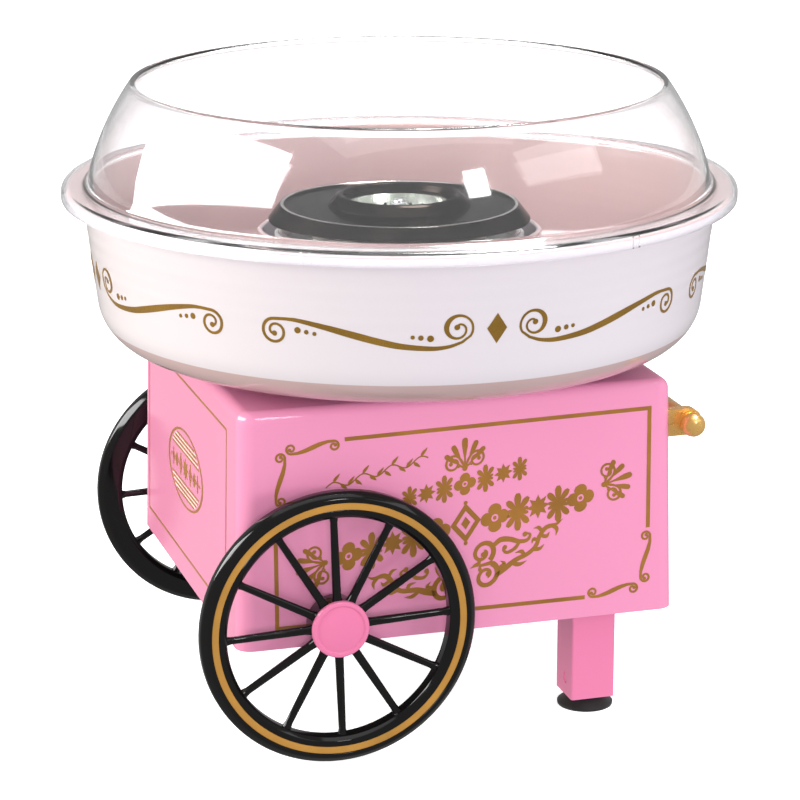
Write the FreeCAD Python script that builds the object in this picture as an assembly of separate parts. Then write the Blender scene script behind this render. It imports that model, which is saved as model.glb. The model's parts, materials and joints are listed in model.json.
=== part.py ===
"""Table-top candy floss machine built like a small two-wheeled cart.

Frame: millimetres, +Z up, origin on the table under the axis of the round bowl. The cart's long axis
is X, with the handle and the two legs at +X and the two wheels at -X. The front panel faces -Y.
"""

import FreeCAD, Part

import math
import os

Vector = FreeCAD.Vector
Z_AXIS = Vector(0, 0, 1)

# Cart housing: a drafted box, open below. The X and Y sizes are those of the top face.
HOUSING_X = (-99.0, 97.5)
HOUSING_HALF_Y = 93.5
HOUSING_Z = (49.0, 155.0)
HOUSING_DRAFT = 2.3          # how far each wall stands further out at the bottom
HOUSING_WALL = 2.5
HOUSING_CORNER_R = 7.0
HOUSING_TOP_EDGE_R = 5.0
HOUSING_TOP_HOLE_R = 30.0
POST_X = (-88.5, 87.0)       # corner posts that the base plate screws into
POST_Y = 83.0
POST_R = 5.5
SCREW_R = 1.5                # every self-tapping screw's shank
SCREW_HEAD_R = 3.0
SCREW_HEAD = 1.8

# Base plate
PLATE_Z = (50.0, 53.0)
PLATE_GAP = 0.4

# Legs and suction feet, at the handle end
LEG_X = (55.2, 75.6)
LEG_Y = (65.4, 86.0)
LEG_BOTTOM = 5.7
LEG_WALL = 2.2
FOOT_R = 12.7
FOOT_STUD_R = 3.4

# Wheels. "Out" is the distance from the cart's middle plane.
WHEEL_X = -60.2
WHEEL_R = 61.4
WHEEL_PHASE = 2.0            # degrees that the spokes stand from the vertical
RIM_INNER_R = 49.7
RIM_OUT = (103.6, 112.9)
HUB_R = 12.2
HUB_OUT = (99.5, 111.0)
HUB_RECESS_R = 9.0
HUB_RECESS_OUT = 107.0
CAP_R = 12.8
CAP_OUT = (111.0, 113.6)
SPOKES = 12
SPOKE_OUT = 107.6
SPOKE_R = (1.9, 1.6)         # at the hub and at the rim
AXLE_R = 4.0
AXLE_END = 109.6
AXLE_Z = WHEEL_R
RUNNING_GAP = 0.05
BUSH_FLANGE_R = 8.5

# Push handle
HANDLE_X = 108.2
HANDLE_Z = 133.0
ARM_HALF_HEIGHT = 6.1
ARM_Y = (82.5, 87.5)
ARM_COLLAR = 1.4
BAR_R = 4.0
SPIGOT_R = 2.8
BALL_R = 5.4
BALL_Y = 92.6

# Bowl, round the Z axis
BOWL_WALL = 2.5
BOWL_RIM_R = 150.0
BOWL_RIM_Z = 231.0
BOWL_TOP_R = 143.2
BOWL_LOW_R = 135.2
BOWL_BASE_Z = 161.0
BOWL_CORNER_R = 21.5
BOWL_FOOT_R = (68.0, 72.0)
COLLAR_INNER_R = 62.4
COLLAR_TOP = 208.0

# Clear rim guard
GUARD_R = 152.5
GUARD_SKIRT_Z = 226.8
GUARD_FLANGE_Z = 233.2
GUARD_WALL = 1.8
GUARD_BASE_R = 141.1
GUARD_MIDDLE = (133.6, 255.6)
GUARD_TOP = (121.2, 278.2)
GUARD_LIP = 2.6
TAB_WIDTH = 3.6
TAB_FIRST = -121.5           # degrees; the tabs are three pairs
TAB_PAIR = 55.0
TAB_PAIRS = 3

# Heater tower, round the Z axis
TOWER_R = 57.0
TOWER_TOP = 205.0
TOWER_WALL = 2.5
TOWER_FLANGE_R = 66.0
TOWER_FLANGE_INNER_R = 32.0
TOWER_FLANGE = 3.0
SHELF_Z = (186.0, 188.5)
SHELF_BUSH_R = 8.0
DISH_R = 52.0
ELEMENT_R = 37.0
ELEMENT_TUBE_R = 3.1
ELEMENT_Z = 202.6
ELEMENT_GAP = 16.0           # degrees left open between the element's two ends
ELEMENT_STEM_Z = 182.0

# Motor and its shaft, round the Z axis
MOTOR_R = 19.5
MOTOR_Z = (96.0, 149.0)
MOTOR_WALL = 1.5
BRACKET_Z = (149.0, 151.0)
BRACKET_HALF = (42.0, 15.0)
ISOLATOR_XY = (34.0, 9.0)
SHAFT_R = 2.5
SHAFT_Z = (90.0, 218.0)
BEARING_R = 4.2
FAN_Z = (162.0, 171.0)
FAN_R = 24.0
FAN_BLADES = 8
PIN_R = 0.9
PIN_Z = 209.9
PIN_GAP = 0.35

# Extractor head, round the Z axis
HEAD_SKIRT = (59.9, 213.4)   # radius and height of the skirt's lower edge
HEAD_RIM = (54.2, 221.1)
HEAD_SHEET = 1.3
HEAD_RING_BASE = (32.2, 220.0)
HEAD_RING_TOP = (28.4, 225.6)
HEAD_RING_BORE = 25.8
CUP_R = 22.7
CUP_FLOOR = 213.6
CUP_SHEET = 1.2
SCREEN_R = 49.5
SCREEN_SLOTS = 48
HEAD_HUB_R = 6.0
HEAD_HUB_Z = (208.6, 219.0)
NUT_R = 4.0

# Rocker switch and cord gland, on the rear wall
SWITCH_X = 58.0
SWITCH_Z = 76.0
SWITCH_POCKET = (10.8, 17.0)
SWITCH_BEZEL = (15.6, 21.6)
BEZEL_LIP = 1.2
SWITCH_DEPTH = 20.0
SWITCH_PIN_R = 1.1
BLADE_LENGTH = 8.0           # the terminals behind the switch
CRIMP_GAP = 0.4              # between a blade and its lead
ROCKER_TILT = 10.0
GLAND_X = 84.0
GLAND_Z = 64.0
GLAND_BORE_R = 3.6

# Terminal block (its first way, its inner face and the height of its wire holes) and rectifier board
TERMINAL_X = 30.0
TERMINAL_PITCH = 10.0
TERMINAL_Y = 44.0
TERMINAL_DEPTH = 16.0
TERMINAL_Z = PLATE_Z[1] + 4.0
BOARD_CORNER = (-20.0, -62.0)
BOARD_SIZE = (44.0, 20.0)
BOARD_Z = (PLATE_Z[1] + 6.0, PLATE_Z[1] + 7.6)

# ---------------------------------------------------------------- shape helpers


def rounded_wire(corners, place):
    """Closed wire through (u, v, radius) corners; place turns a point (u, v) into a Vector."""
    stations = []
    for i, (u, v, radius) in enumerate(corners):
        here = Vector(u, v, 0)
        if radius <= 0:
            stations.append([here])
            continue
        before = (Vector(*corners[i - 1][:2], 0) - here).normalize()
        after = (Vector(*corners[(i + 1) % len(corners)][:2], 0) - here).normalize()
        half = before.getAngle(after) / 2
        setback = radius / math.tan(half)
        middle = (before + after).normalize() * (radius / math.sin(half) - radius)
        stations.append([here + before * setback, here + middle, here + after * setback])
    edges = []
    for i, station in enumerate(stations):
        if len(station) == 3:
            edges.append(Part.Arc(*[place(p) for p in station]).toShape())
        start, end = station[-1], stations[(i + 1) % len(stations)][0]
        if start.distanceToPoint(end) > 1e-6:
            edges.append(Part.makeLine(place(start), place(end)))
    return Part.Wire(edges)


def turned(corners):
    """Solid of revolution about Z from (radius, height, corner radius) corners."""
    face = Part.Face(rounded_wire(corners, lambda p: Vector(p.x, 0, p.y)))
    return face.revolve(Vector(0, 0, 0), Z_AXIS, 360)


def turned_edges(edges):
    """Solid of revolution about Z from edges in the XZ plane."""
    return Part.Face(Part.Wire(edges)).revolve(Vector(0, 0, 0), Z_AXIS, 360)


def ring(inner, outer, z0, z1, x=0.0, y=0.0):
    """Upright tube, or a plain cylinder where inner is 0."""
    solid = Part.makeCylinder(outer, z1 - z0, Vector(x, y, z0))
    if inner > 0:
        solid = solid.cut(Part.makeCylinder(inner, z1 - z0 + 2, Vector(x, y, z0 - 1)))
    return solid


def across(radius, x, z, y0, y1):
    """Cylinder that lies along Y."""
    return Part.makeCylinder(radius, y1 - y0, Vector(x, y0, z), Vector(0, 1, 0))


def box(x0, x1, y0, y1, z0, z1):
    return Part.makeBox(x1 - x0, y1 - y0, z1 - z0, Vector(x0, y0, z0))


def slab(corners, z0, z1):
    """Flat plate from (x, y, corner radius) corners."""
    face = Part.Face(rounded_wire(corners, lambda p: Vector(p.x, p.y, z0)))
    return face.extrude(Vector(0, 0, z1 - z0))


def rectangle(x0, x1, y0, y1, radius):
    return [(x0, y0, radius), (x1, y0, radius), (x1, y1, radius), (x0, y1, radius)]


def spun(shape, degrees, centre=Vector(0, 0, 0), axis=Z_AXIS):
    copy = shape.copy()
    copy.rotate(centre, axis, degrees)
    return copy


def mirrored(shape):
    """The same piece on the cart's other side."""
    return shape.mirror(Vector(0, 0, 0), Vector(0, 1, 0))


def outboard(shape, side):
    """Turns a piece made along Z so that Z points out of the cart: side -1 is the front, 1 the rear."""
    copy = shape.copy()
    copy.rotate(Vector(0, 0, 0), Vector(1, 0, 0), -90 * side)
    copy.translate(Vector(WHEEL_X, 0, AXLE_Z))
    return copy


def group(solids):
    return solids[0] if len(solids) == 1 else Part.makeCompound(solids)


def fused(solids):
    return solids[0].multiFuse(solids[1:]).removeSplitter() if len(solids) > 1 else solids[0]


def screw(x, y, z, length, up=True):
    """Pan-head screw along Z. z is the plane under its head, and up says which way the shank points."""
    profile = [
        (0, -SCREW_HEAD, 0), (SCREW_HEAD_R, -SCREW_HEAD, 0.9), (SCREW_HEAD_R, 0, 0),
        (SCREW_R, 0, 0), (SCREW_R, length - 1.5, 0), (0.3, length, 0), (0, length, 0),
    ]
    solid = turned(profile)
    slot = box(-2.2, 2.2, -0.35, 0.35, -SCREW_HEAD - 1, -SCREW_HEAD + 0.7)
    solid = solid.cut(slot.fuse(spun(slot, 90)))
    if not up:
        solid.rotate(Vector(0, 0, 0), Vector(1, 0, 0), 180)
    solid.translate(Vector(x, y, z))
    return solid


def wire_run(points, radius):
    """Round wire along straight runs joined by tangent arcs, each as large as its two runs allow."""
    points = [Vector(*p) for p in points]
    edges, start = [], points[0]
    for a, b, c in zip(points, points[1:], points[2:]):
        back, on = (a - b), (c - b)
        setback = 0.45 * min(back.Length, on.Length)
        back.normalize()
        on.normalize()
        half = back.getAngle(on) / 2
        bend = setback * math.tan(half)
        middle = b + (back + on).normalize() * (bend / math.sin(half) - bend)
        edges.append(Part.makeLine(start, b + back * setback))
        edges.append(Part.Arc(b + back * setback, middle, b + on * setback).toShape())
        start = b + on * setback
    edges.append(Part.makeLine(start, points[-1]))
    path = Part.Wire(edges)
    direction = points[1] - points[0]
    section = Part.Wire(Part.makeCircle(radius, points[0], direction))
    return path.makePipeShell([section], True, True)


# ---------------------------------------------------------------- cart housing


def draft_at(z):
    """How far each wall stands out at a height, past its place at the top."""
    return HOUSING_DRAFT * (HOUSING_Z[1] - z) / (HOUSING_Z[1] - HOUSING_Z[0])


def wall_y(z):
    """Outside face of the rear wall at a height."""
    return HOUSING_HALF_Y + draft_at(z)


def housing_block(inset, z0, z1, corner):
    """Drafted block that follows the housing's walls at an inset."""
    def outline(z):
        spread = draft_at(z) - inset
        half = HOUSING_HALF_Y + spread
        corners = rectangle(HOUSING_X[0] - spread, HOUSING_X[1] + spread, -half, half, corner)
        return rounded_wire(corners, lambda p: Vector(p.x, p.y, z))
    return Part.makeLoft([outline(z0), outline(z1)], True, True)


def housing_outside():
    block = housing_block(0, *HOUSING_Z, HOUSING_CORNER_R)
    top_edges = [
        e for e in block.Edges
        if all(abs(v.Point.z - HOUSING_Z[1]) < 1e-6 for v in e.Vertexes)
    ]
    return block.makeFillet(HOUSING_TOP_EDGE_R, top_edges)


def housing_inside():
    return housing_block(
        HOUSING_WALL, HOUSING_Z[0], HOUSING_Z[1] - HOUSING_WALL, HOUSING_CORNER_R - HOUSING_WALL
    )


def post_places():
    return [(x, y) for x in POST_X for y in (-POST_Y, POST_Y)]


def isolator_places():
    x, y = ISOLATOR_XY
    return [(sx * x, sy * y) for sx in (-1, 1) for sy in (-1, 1)]


def tower_screw_places():
    reach = (TOWER_R - TOWER_WALL - 5.5) * math.sqrt(0.5)
    return [(sx * reach, sy * reach) for sx in (-1, 1) for sy in (-1, 1)]


def arm_screw_places():
    """Places (y, z) of the two screws that hold each handle arm, on both sides."""
    y = sum(ARM_Y) / 2
    return [(side * y, HANDLE_Z + dz) for side in (-1, 1) for dz in (-3.0, 3.0)]


def cart_housing():
    shell = housing_outside().cut(housing_inside())
    posts = []
    for x, y in post_places():
        post = ring(0, POST_R, PLATE_Z[1], HOUSING_Z[1] - HOUSING_WALL + 0.5, x, y)
        posts.append(post.common(housing_outside()))
    shell = fused([shell] + posts)
    top = HOUSING_Z[1]
    holes = [ring(0, HOUSING_TOP_HOLE_R, top - 10, top + 5)]
    holes += [ring(0, SCREW_R, PLATE_Z[0], PLATE_Z[1] + 14, x, y) for x, y in post_places()]
    holes += [ring(0, SCREW_R, top - 10, top + 5, x, y) for x, y in isolator_places()]
    holes += [ring(0, SCREW_R, top - 10, top + 5, x, y) for x, y in tower_screw_places()]
    holes.append(across(AXLE_R + 1.5, WHEEL_X, AXLE_Z, -120, 120))
    for y, z in arm_screw_places():
        holes.append(Part.makeCylinder(SCREW_R, 20, Vector(HOUSING_X[1] - 10, y, z), Vector(1, 0, 0)))
    holes.append(switch_block(SWITCH_BEZEL, -BEZEL_LIP, -8.0, 15.0))
    holes.append(across(GLAND_BORE_R + 2, GLAND_X, GLAND_Z, 85, 110))
    for hole in holes:
        shell = shell.cut(hole)
    return shell


def leg_centres():
    x, y = sum(LEG_X) / 2, sum(LEG_Y) / 2
    return [(x, -y), (x, y)]


def base_plate():
    inset = HOUSING_WALL + PLATE_GAP - draft_at(PLATE_Z[1])
    half = HOUSING_HALF_Y - inset
    corners = rectangle(HOUSING_X[0] + inset, HOUSING_X[1] - inset, -half, half, 4.0)
    plate = slab(corners, *PLATE_Z)
    for x, y in post_places() + leg_centres():
        plate = plate.cut(ring(0, SCREW_R + 0.2, PLATE_Z[0] - 5, PLATE_Z[1] + 5, x, y))
    for x, y in post_places():
        plate = plate.cut(ring(0, SCREW_HEAD_R + 0.3, PLATE_Z[0] - 5, PLATE_Z[0] + 1.0, x, y))
    for row in range(-4, 5):
        y = row * 8.0
        slot = slab(rectangle(-36, 30, y - 1.6, y + 1.6, 1.5), PLATE_Z[0] - 1, PLATE_Z[1] + 1)
        plate = plate.cut(slot)
    return plate


def base_screws():
    """The plate's screws up into the posts, and the legs' screws down through the plate."""
    into_posts = [screw(x, y, PLATE_Z[0] + 1.0, 14) for x, y in post_places()]
    into_legs = [screw(x, y, PLATE_Z[1], 14, up=False) for x, y in leg_centres()]
    return group(into_posts + into_legs)


# ---------------------------------------------------------------- legs and feet


def leg(side):
    """Square hollow leg with a screw boss up its middle; side -1 is the front one."""
    (x0, x1), (y0, y1), w = LEG_X, LEG_Y, LEG_WALL
    low, top = LEG_BOTTOM, PLATE_Z[0]
    outside = slab(rectangle(x0, x1, y0, y1, 0.8), low, top)
    inside = box(x0 + w, x1 - w, y0 + w, y1 - w, low + 3, top + 1)
    x, y = sum(LEG_X) / 2, sum(LEG_Y) / 2
    boss = ring(SCREW_R, 4.2, low + 20, top, x, y)
    web = box(x0 + 1, x1 - 1, y - 0.8, y + 0.8, low + 20, top)
    web = web.cut(ring(0, 4.0, low, top + 1, x, y))
    solid = fused([outside.cut(inside), boss, web])
    solid = solid.cut(ring(0, FOOT_STUD_R, low - 1, low + 4, x, y))
    gate_mark = Part.makeCylinder(2.6, 0.5, Vector(x0 - 0.1, y1 - 8.5, LEG_BOTTOM + 8), Vector(1, 0, 0))
    solid = solid.cut(gate_mark)
    return solid if side > 0 else mirrored(solid)


def suction_foot(x, y):
    """Rubber suction cup, its stud buttoned through the leg's end."""
    leg_floor, stud, button_top = LEG_BOTTOM + 3, FOOT_STUD_R - 0.1, LEG_BOTTOM + 6.4
    corners = [
        (0, 3.2, 0), (6.0, 2.6, 2), (FOOT_R - 1.9, 0, 0), (FOOT_R - 0.2, 0, 0), (FOOT_R, 1.3, 0.5),
        (7.4, 4.6, 1.5), (6.6, LEG_BOTTOM, 0), (stud, LEG_BOTTOM, 0), (stud, leg_floor, 0),
        (4.9, leg_floor, 0), (2.4, button_top, 0.8), (0, button_top, 0),
    ]
    foot = turned(corners)
    foot.translate(Vector(x, y, 0))
    return foot


# ---------------------------------------------------------------- wheels and axle


def wheel(side):
    """One-piece moulded wheel: rim, tapered round spokes and hub."""
    face = RIM_OUT[1]
    rim = turned([
        (RIM_INNER_R, RIM_OUT[0] + 1.0, 1.2), (RIM_INNER_R + 2.5, RIM_OUT[0], 1.0),
        (WHEEL_R - 2.5, RIM_OUT[0], 1.5), (WHEEL_R, RIM_OUT[0] + 2.5, 2.0),
        (WHEEL_R, face - 2.6, 2.4), (WHEEL_R - 3.4, face, 1.2), (WHEEL_R - 7.6, face, 0.5),
        (RIM_INNER_R, face - 2.6, 1.0),
    ])
    hub = turned([
        (AXLE_R + RUNNING_GAP, HUB_OUT[0], 0), (HUB_R, HUB_OUT[0], 1.0), (HUB_R, HUB_OUT[1], 0.8),
        (HUB_RECESS_R, HUB_OUT[1], 0), (HUB_RECESS_R, HUB_RECESS_OUT, 0),
        (AXLE_R + RUNNING_GAP, HUB_RECESS_OUT, 0),
    ])
    spokes = []
    for i in range(SPOKES):
        angle = math.radians(90 + WHEEL_PHASE + i * 360 / SPOKES)
        direction = Vector(math.cos(angle), math.sin(angle), 0)
        start = direction * (HUB_R - 1) + Vector(0, 0, SPOKE_OUT)
        spokes.append(Part.makeCone(*SPOKE_R, RIM_INNER_R - HUB_R + 2.5, start, direction))
    solid = fused([rim, hub] + spokes)
    return outboard(solid, side)


def hubcap(side):
    plug_r = HUB_RECESS_R - 0.1
    cap = turned([
        (0, CAP_OUT[0] - 1.0, 0), (plug_r, CAP_OUT[0] - 1.0, 0), (plug_r, CAP_OUT[0], 0),
        (CAP_R, CAP_OUT[0], 0), (CAP_R, CAP_OUT[1] - 0.7, 1.1), (CAP_R - 2.2, CAP_OUT[1], 0.8),
        (0, CAP_OUT[1] + 0.4, 0),
    ])
    return outboard(cap, side)


def axle():
    profile = [
        (0, -AXLE_END, 0), (AXLE_R, -AXLE_END, 0.6), (AXLE_R, AXLE_END, 0.6), (0, AXLE_END, 0),
    ]
    return outboard(turned(profile), 1)


def axle_push_nuts():
    """Dished spring nuts that keep the wheels on."""
    seat, bend, edge = HUB_RECESS_OUT, AXLE_R + 1.6, HUB_RECESS_R - 1.4
    nut = turned([
        (AXLE_R, seat + 1.3, 0), (bend, seat + 0.9, 0), (edge, seat + 0.4, 0),
        (edge, seat + 0.9, 0), (bend, seat + 1.5, 0), (AXLE_R, seat + 1.9, 0),
    ])
    return group([outboard(nut, side) for side in (-1, 1)])


def axle_bushes():
    """Flanged bushes in the housing's side walls."""
    wall = wall_y(AXLE_Z)
    sleeve_r = AXLE_R + 1.5
    bush = turned([
        (AXLE_R, wall - 6.0, 0), (sleeve_r, wall - 6.0, 0.4), (sleeve_r, wall + 0.3, 0),
        (BUSH_FLANGE_R, wall + 0.3, 0), (BUSH_FLANGE_R, wall + 2.0, 0.5), (AXLE_R, wall + 2.0, 0),
    ])
    return group([outboard(bush, side) for side in (-1, 1)])


def axle_washers():
    seat = wall_y(AXLE_Z) + 2.0
    washer = ring(AXLE_R, BUSH_FLANGE_R - 1, seat, seat + 1.0)
    return group([outboard(washer, side) for side in (-1, 1)])


def axle_carriers():
    """Pillow blocks on the base plate that hold the axle still."""
    blocks = []
    floor, ledge, top = PLATE_Z[1], PLATE_Z[1] + 3, AXLE_Z + 7.5
    foot, cheek = 13.0, 7.5
    for y in (-66.0, 66.0):
        corners = [
            (WHEEL_X - foot, floor, 0), (WHEEL_X + foot, floor, 0), (WHEEL_X + foot, ledge, 1),
            (WHEEL_X + cheek, ledge, 1), (WHEEL_X + cheek, top, 5), (WHEEL_X - cheek, top, 5),
            (WHEEL_X - cheek, ledge, 1), (WHEEL_X - foot, ledge, 1),
        ]
        wire = rounded_wire(corners, lambda p, y=y: Vector(p.x, y - 5, p.y))
        block = Part.Face(wire).extrude(Vector(0, 10, 0))
        bore = Part.makeCylinder(AXLE_R, 20, Vector(WHEEL_X, y - 10, AXLE_Z), Vector(0, 1, 0))
        blocks.append(block.cut(bore))
    return group(blocks)


# ---------------------------------------------------------------- push handle


def handle_arm(side):
    """Flat arm with a round end, seated on the sloping end wall; side -1 is the front one."""
    h = ARM_HALF_HEIGHT
    corners = [
        (HOUSING_X[1] - 2, HANDLE_Z - h, 0), (HANDLE_X, HANDLE_Z - h, 0),
        (HANDLE_X + h, HANDLE_Z - h, h - 0.01), (HANDLE_X + h, HANDLE_Z + h, h - 0.01),
        (HOUSING_X[1] - 2, HANDLE_Z + h, 0),
    ]
    inner, outer = ARM_Y
    wire = rounded_wire(corners, lambda p: Vector(p.x, inner, p.y))
    arm = Part.Face(wire).extrude(Vector(0, outer - inner, 0))
    groove = box(HOUSING_X[1] - 3, HANDLE_X - 6.6, outer - 0.5, outer + 1, HANDLE_Z - 0.7, HANDLE_Z + 0.3)
    collar = across(5.0, HANDLE_X, HANDLE_Z, outer, outer + ARM_COLLAR)
    bore = across(SPIGOT_R, HANDLE_X, HANDLE_Z, inner - 5, outer + 5)
    arm = fused([arm.cut(groove), collar]).cut(bore).cut(housing_outside())
    for y, z in arm_screw_places():
        if y > 0:
            hole = Part.makeCylinder(SCREW_R, 9, Vector(HOUSING_X[1] - 1, y, z), Vector(1, 0, 0))
            arm = arm.cut(hole)
    return arm if side > 0 else mirrored(arm)


def handle_bar():
    """Round crossbar with a spigot at each end that passes through its arm."""
    shoulder, end = ARM_Y[0], BALL_Y - 2.5
    profile = [
        (0, -end, 0), (SPIGOT_R, -end, 0), (SPIGOT_R, -shoulder, 0), (BAR_R, -shoulder, 0),
        (BAR_R, shoulder, 0), (SPIGOT_R, shoulder, 0), (SPIGOT_R, end, 0), (0, end, 0),
    ]
    bar = turned(profile)
    bar.rotate(Vector(0, 0, 0), Vector(1, 0, 0), 90)
    bar.translate(Vector(HANDLE_X, 0, HANDLE_Z))
    return bar


def handle_ball(side):
    """Ball knob on the crossbar's spigot, with a flat seat against the arm's collar."""
    seat = ARM_Y[1] + ARM_COLLAR
    ball = Part.makeSphere(BALL_R, Vector(HANDLE_X, BALL_Y, HANDLE_Z))
    ball = ball.fuse(across(4.2, HANDLE_X, HANDLE_Z, seat, BALL_Y))
    ball = ball.cut(across(BALL_R + 1, HANDLE_X, HANDLE_Z, ARM_Y[0], seat))
    ball = ball.cut(across(SPIGOT_R, HANDLE_X, HANDLE_Z, ARM_Y[0], BALL_Y - 2.5)).removeSplitter()
    return ball if side > 0 else mirrored(ball)


def handle_screws():
    screws = []
    for y, z in arm_screw_places():
        solid = screw(0, 0, 0, 8)
        solid.rotate(Vector(0, 0, 0), Vector(0, 1, 0), 90)
        solid.translate(Vector(HOUSING_X[1] + draft_at(z) - HOUSING_WALL - 0.1, y, z))
        screws.append(solid)
    return group(screws)


# ---------------------------------------------------------------- bowl and rim guard


def bowl():
    """Round pan with an outer rim, a foot ring, and a collar that surrounds the heater tower."""
    t = BOWL_WALL
    lip = 1.8
    rim, rim_low, under_rim = BOWL_RIM_Z, BOWL_RIM_Z - 4.6, BOWL_RIM_Z - t
    base, floor, seat = BOWL_BASE_Z, BOWL_BASE_Z + t, HOUSING_Z[1]
    foot_in, foot_out = BOWL_FOOT_R
    return turned([
        (BOWL_TOP_R - t + 0.6, rim, 1.2), (BOWL_RIM_R, rim, 1.6), (BOWL_RIM_R, rim_low, 0.6),
        (BOWL_RIM_R - lip, rim_low, 0.6), (BOWL_RIM_R - lip, under_rim, 1.0),
        (BOWL_TOP_R, under_rim, 1.5), (BOWL_LOW_R, base, BOWL_CORNER_R),
        (foot_out, base, 1.0), (foot_out, seat, 0.6), (foot_in, seat, 0.6), (foot_in, base, 1.0),
        (COLLAR_INNER_R, base, 0.8), (COLLAR_INNER_R, COLLAR_TOP, 1.0),
        (COLLAR_INNER_R + t, COLLAR_TOP, 1.0), (COLLAR_INNER_R + t + 1.5, floor, 5.0),
        (BOWL_LOW_R - t, floor, BOWL_CORNER_R - t),
    ])


def rim_guard():
    """Clear guard: a skirt round the bowl's rim, a flange, and a bulged wall up to an open top."""
    t = GUARD_WALL
    flange_under = GUARD_FLANGE_Z - t - 0.2
    top_r, top_z = GUARD_TOP
    bead = top_r - GUARD_LIP

    def wall(offset, z0, z1):
        """Bulged wall at an inward offset, as an arc through three points."""
        low = Vector(GUARD_BASE_R - offset, 0, z0)
        middle = Vector(GUARD_MIDDLE[0] - offset, 0, GUARD_MIDDLE[1])
        high = Vector(top_r - offset, 0, z1)
        return Part.Arc(low, middle, high)

    outer = wall(0, GUARD_FLANGE_Z, top_z - 0.8)
    inner = wall(t, flange_under, top_z - GUARD_LIP)
    points = [
        outer.EndPoint, Vector(top_r - 0.7, 0, top_z), Vector(bead, 0, top_z),
        Vector(bead - 0.5, 0, top_z - 0.6), Vector(bead - 0.5, 0, top_z - 1.8), inner.EndPoint,
    ]
    under = [
        inner.StartPoint, Vector(GUARD_R - t, 0, flange_under), Vector(GUARD_R - t, 0, GUARD_SKIRT_Z),
        Vector(GUARD_R, 0, GUARD_SKIRT_Z), Vector(GUARD_R, 0, GUARD_FLANGE_Z), outer.StartPoint,
    ]
    edges = [outer.toShape()] + [Part.makeLine(a, b) for a, b in zip(points, points[1:])]
    edges += [inner.toShape()] + [Part.makeLine(a, b) for a, b in zip(under, under[1:])]
    guard = turned_edges(Part.sortEdges(edges)[0])
    rounds = {
        (GUARD_R, GUARD_FLANGE_Z): 3.0, (GUARD_BASE_R, GUARD_FLANGE_Z): 3.0,
        (GUARD_BASE_R - t, flange_under): 2.0, (GUARD_R - t, flange_under): 1.4,
        (GUARD_R, GUARD_SKIRT_Z): 0.6,
    }
    for (radius, z), size in rounds.items():
        corner = Vector(radius, 0, z)
        circles = [e for e in guard.Edges if len(e.Vertexes) == 1]
        found = [e for e in circles if e.Vertexes[0].Point.distanceToPoint(corner) < 1e-4]
        guard = guard.makeFillet(size, found)
    return guard.cut(Part.makeCompound(tab_grooves()))


def tab_grooves():
    """Pairs of upright grooves that mark each clip tab on the skirt."""
    grooves = []
    for pair in range(TAB_PAIRS):
        for offset in (0.0, TAB_PAIR):
            for side in (-1, 1):
                y = side * TAB_WIDTH / 2
                z0, z1 = GUARD_SKIRT_Z - 1, GUARD_FLANGE_Z - 0.8
                groove = box(GUARD_R - 0.6, GUARD_R + 2, y - 0.3, y + 0.3, z0, z1)
                grooves.append(spun(groove, TAB_FIRST + offset + pair * 360 / TAB_PAIRS))
    return grooves


# ---------------------------------------------------------------- heater tower


def heater_tower():
    """Heat-resistant tower that carries the heater, with a shelf that closes it from the motor."""
    z0 = HOUSING_Z[1]
    flange_top = z0 + TOWER_FLANGE
    inside = TOWER_R - TOWER_WALL
    under, over = SHELF_Z
    tower = turned([
        (TOWER_FLANGE_INNER_R, z0, 0), (TOWER_FLANGE_R, z0, 0.6), (TOWER_FLANGE_R, flange_top, 0.8),
        (TOWER_R + 0.8, flange_top, 1.5), (TOWER_R, TOWER_TOP, 0), (inside, TOWER_TOP, 0),
        (inside, over, 0), (SHELF_BUSH_R, over, 0), (SHELF_BUSH_R, under, 0), (inside, under, 0),
        (inside, flange_top, 0), (TOWER_FLANGE_INNER_R, flange_top, 0),
    ])
    bosses = [ring(0, 4.5, flange_top - 0.5, flange_top + 8, x, y) for x, y in tower_screw_places()]
    tower = fused([tower] + bosses)
    for x, y in tower_screw_places():
        tower = tower.cut(ring(0, SCREW_R, z0 - 1, flange_top + 6, x, y))
    for x, y in isolator_places():
        tower = tower.cut(ring(0, SCREW_R, z0 - 1, flange_top + 1, x, y))
    for x, y in lead_holes():
        tower = tower.cut(ring(0, 2.2, SHELF_Z[0] - 1, SHELF_Z[1] + 1, x, y))
    return tower


def lead_holes():
    """Where the heater's two leads go down, under the element's ends."""
    half = math.radians(ELEMENT_GAP / 2)
    x, y = ELEMENT_R * math.cos(half), ELEMENT_R * math.sin(half)
    return [(x, -y), (x, y)]


def heater_dish():
    """Spun reflector dish with a rolled rim on the tower and a tube that keeps sugar off the shaft."""
    t, tube, tube_top = 1.0, 9.0, SHELF_Z[1] + 10.5
    floor, rim = SHELF_Z[1], TOWER_TOP
    dish = turned([
        (tube, floor, 0), (DISH_R - 1, floor, 3.0), (DISH_R + 1.5, rim, 0.8), (TOWER_R - 0.5, rim, 0),
        (TOWER_R - 0.5, rim + t, 0.4), (DISH_R + 1.0, rim + t, 1.2), (DISH_R - 2.0, floor + t, 2.2),
        (tube + t, floor + t, 0.8), (tube + t, tube_top, 0.3), (tube, tube_top, 0),
    ])
    for x, y in lead_holes():
        dish = dish.cut(ring(0, 2.2, SHELF_Z[0], SHELF_Z[1] + 5, x, y))
    return dish


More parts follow.
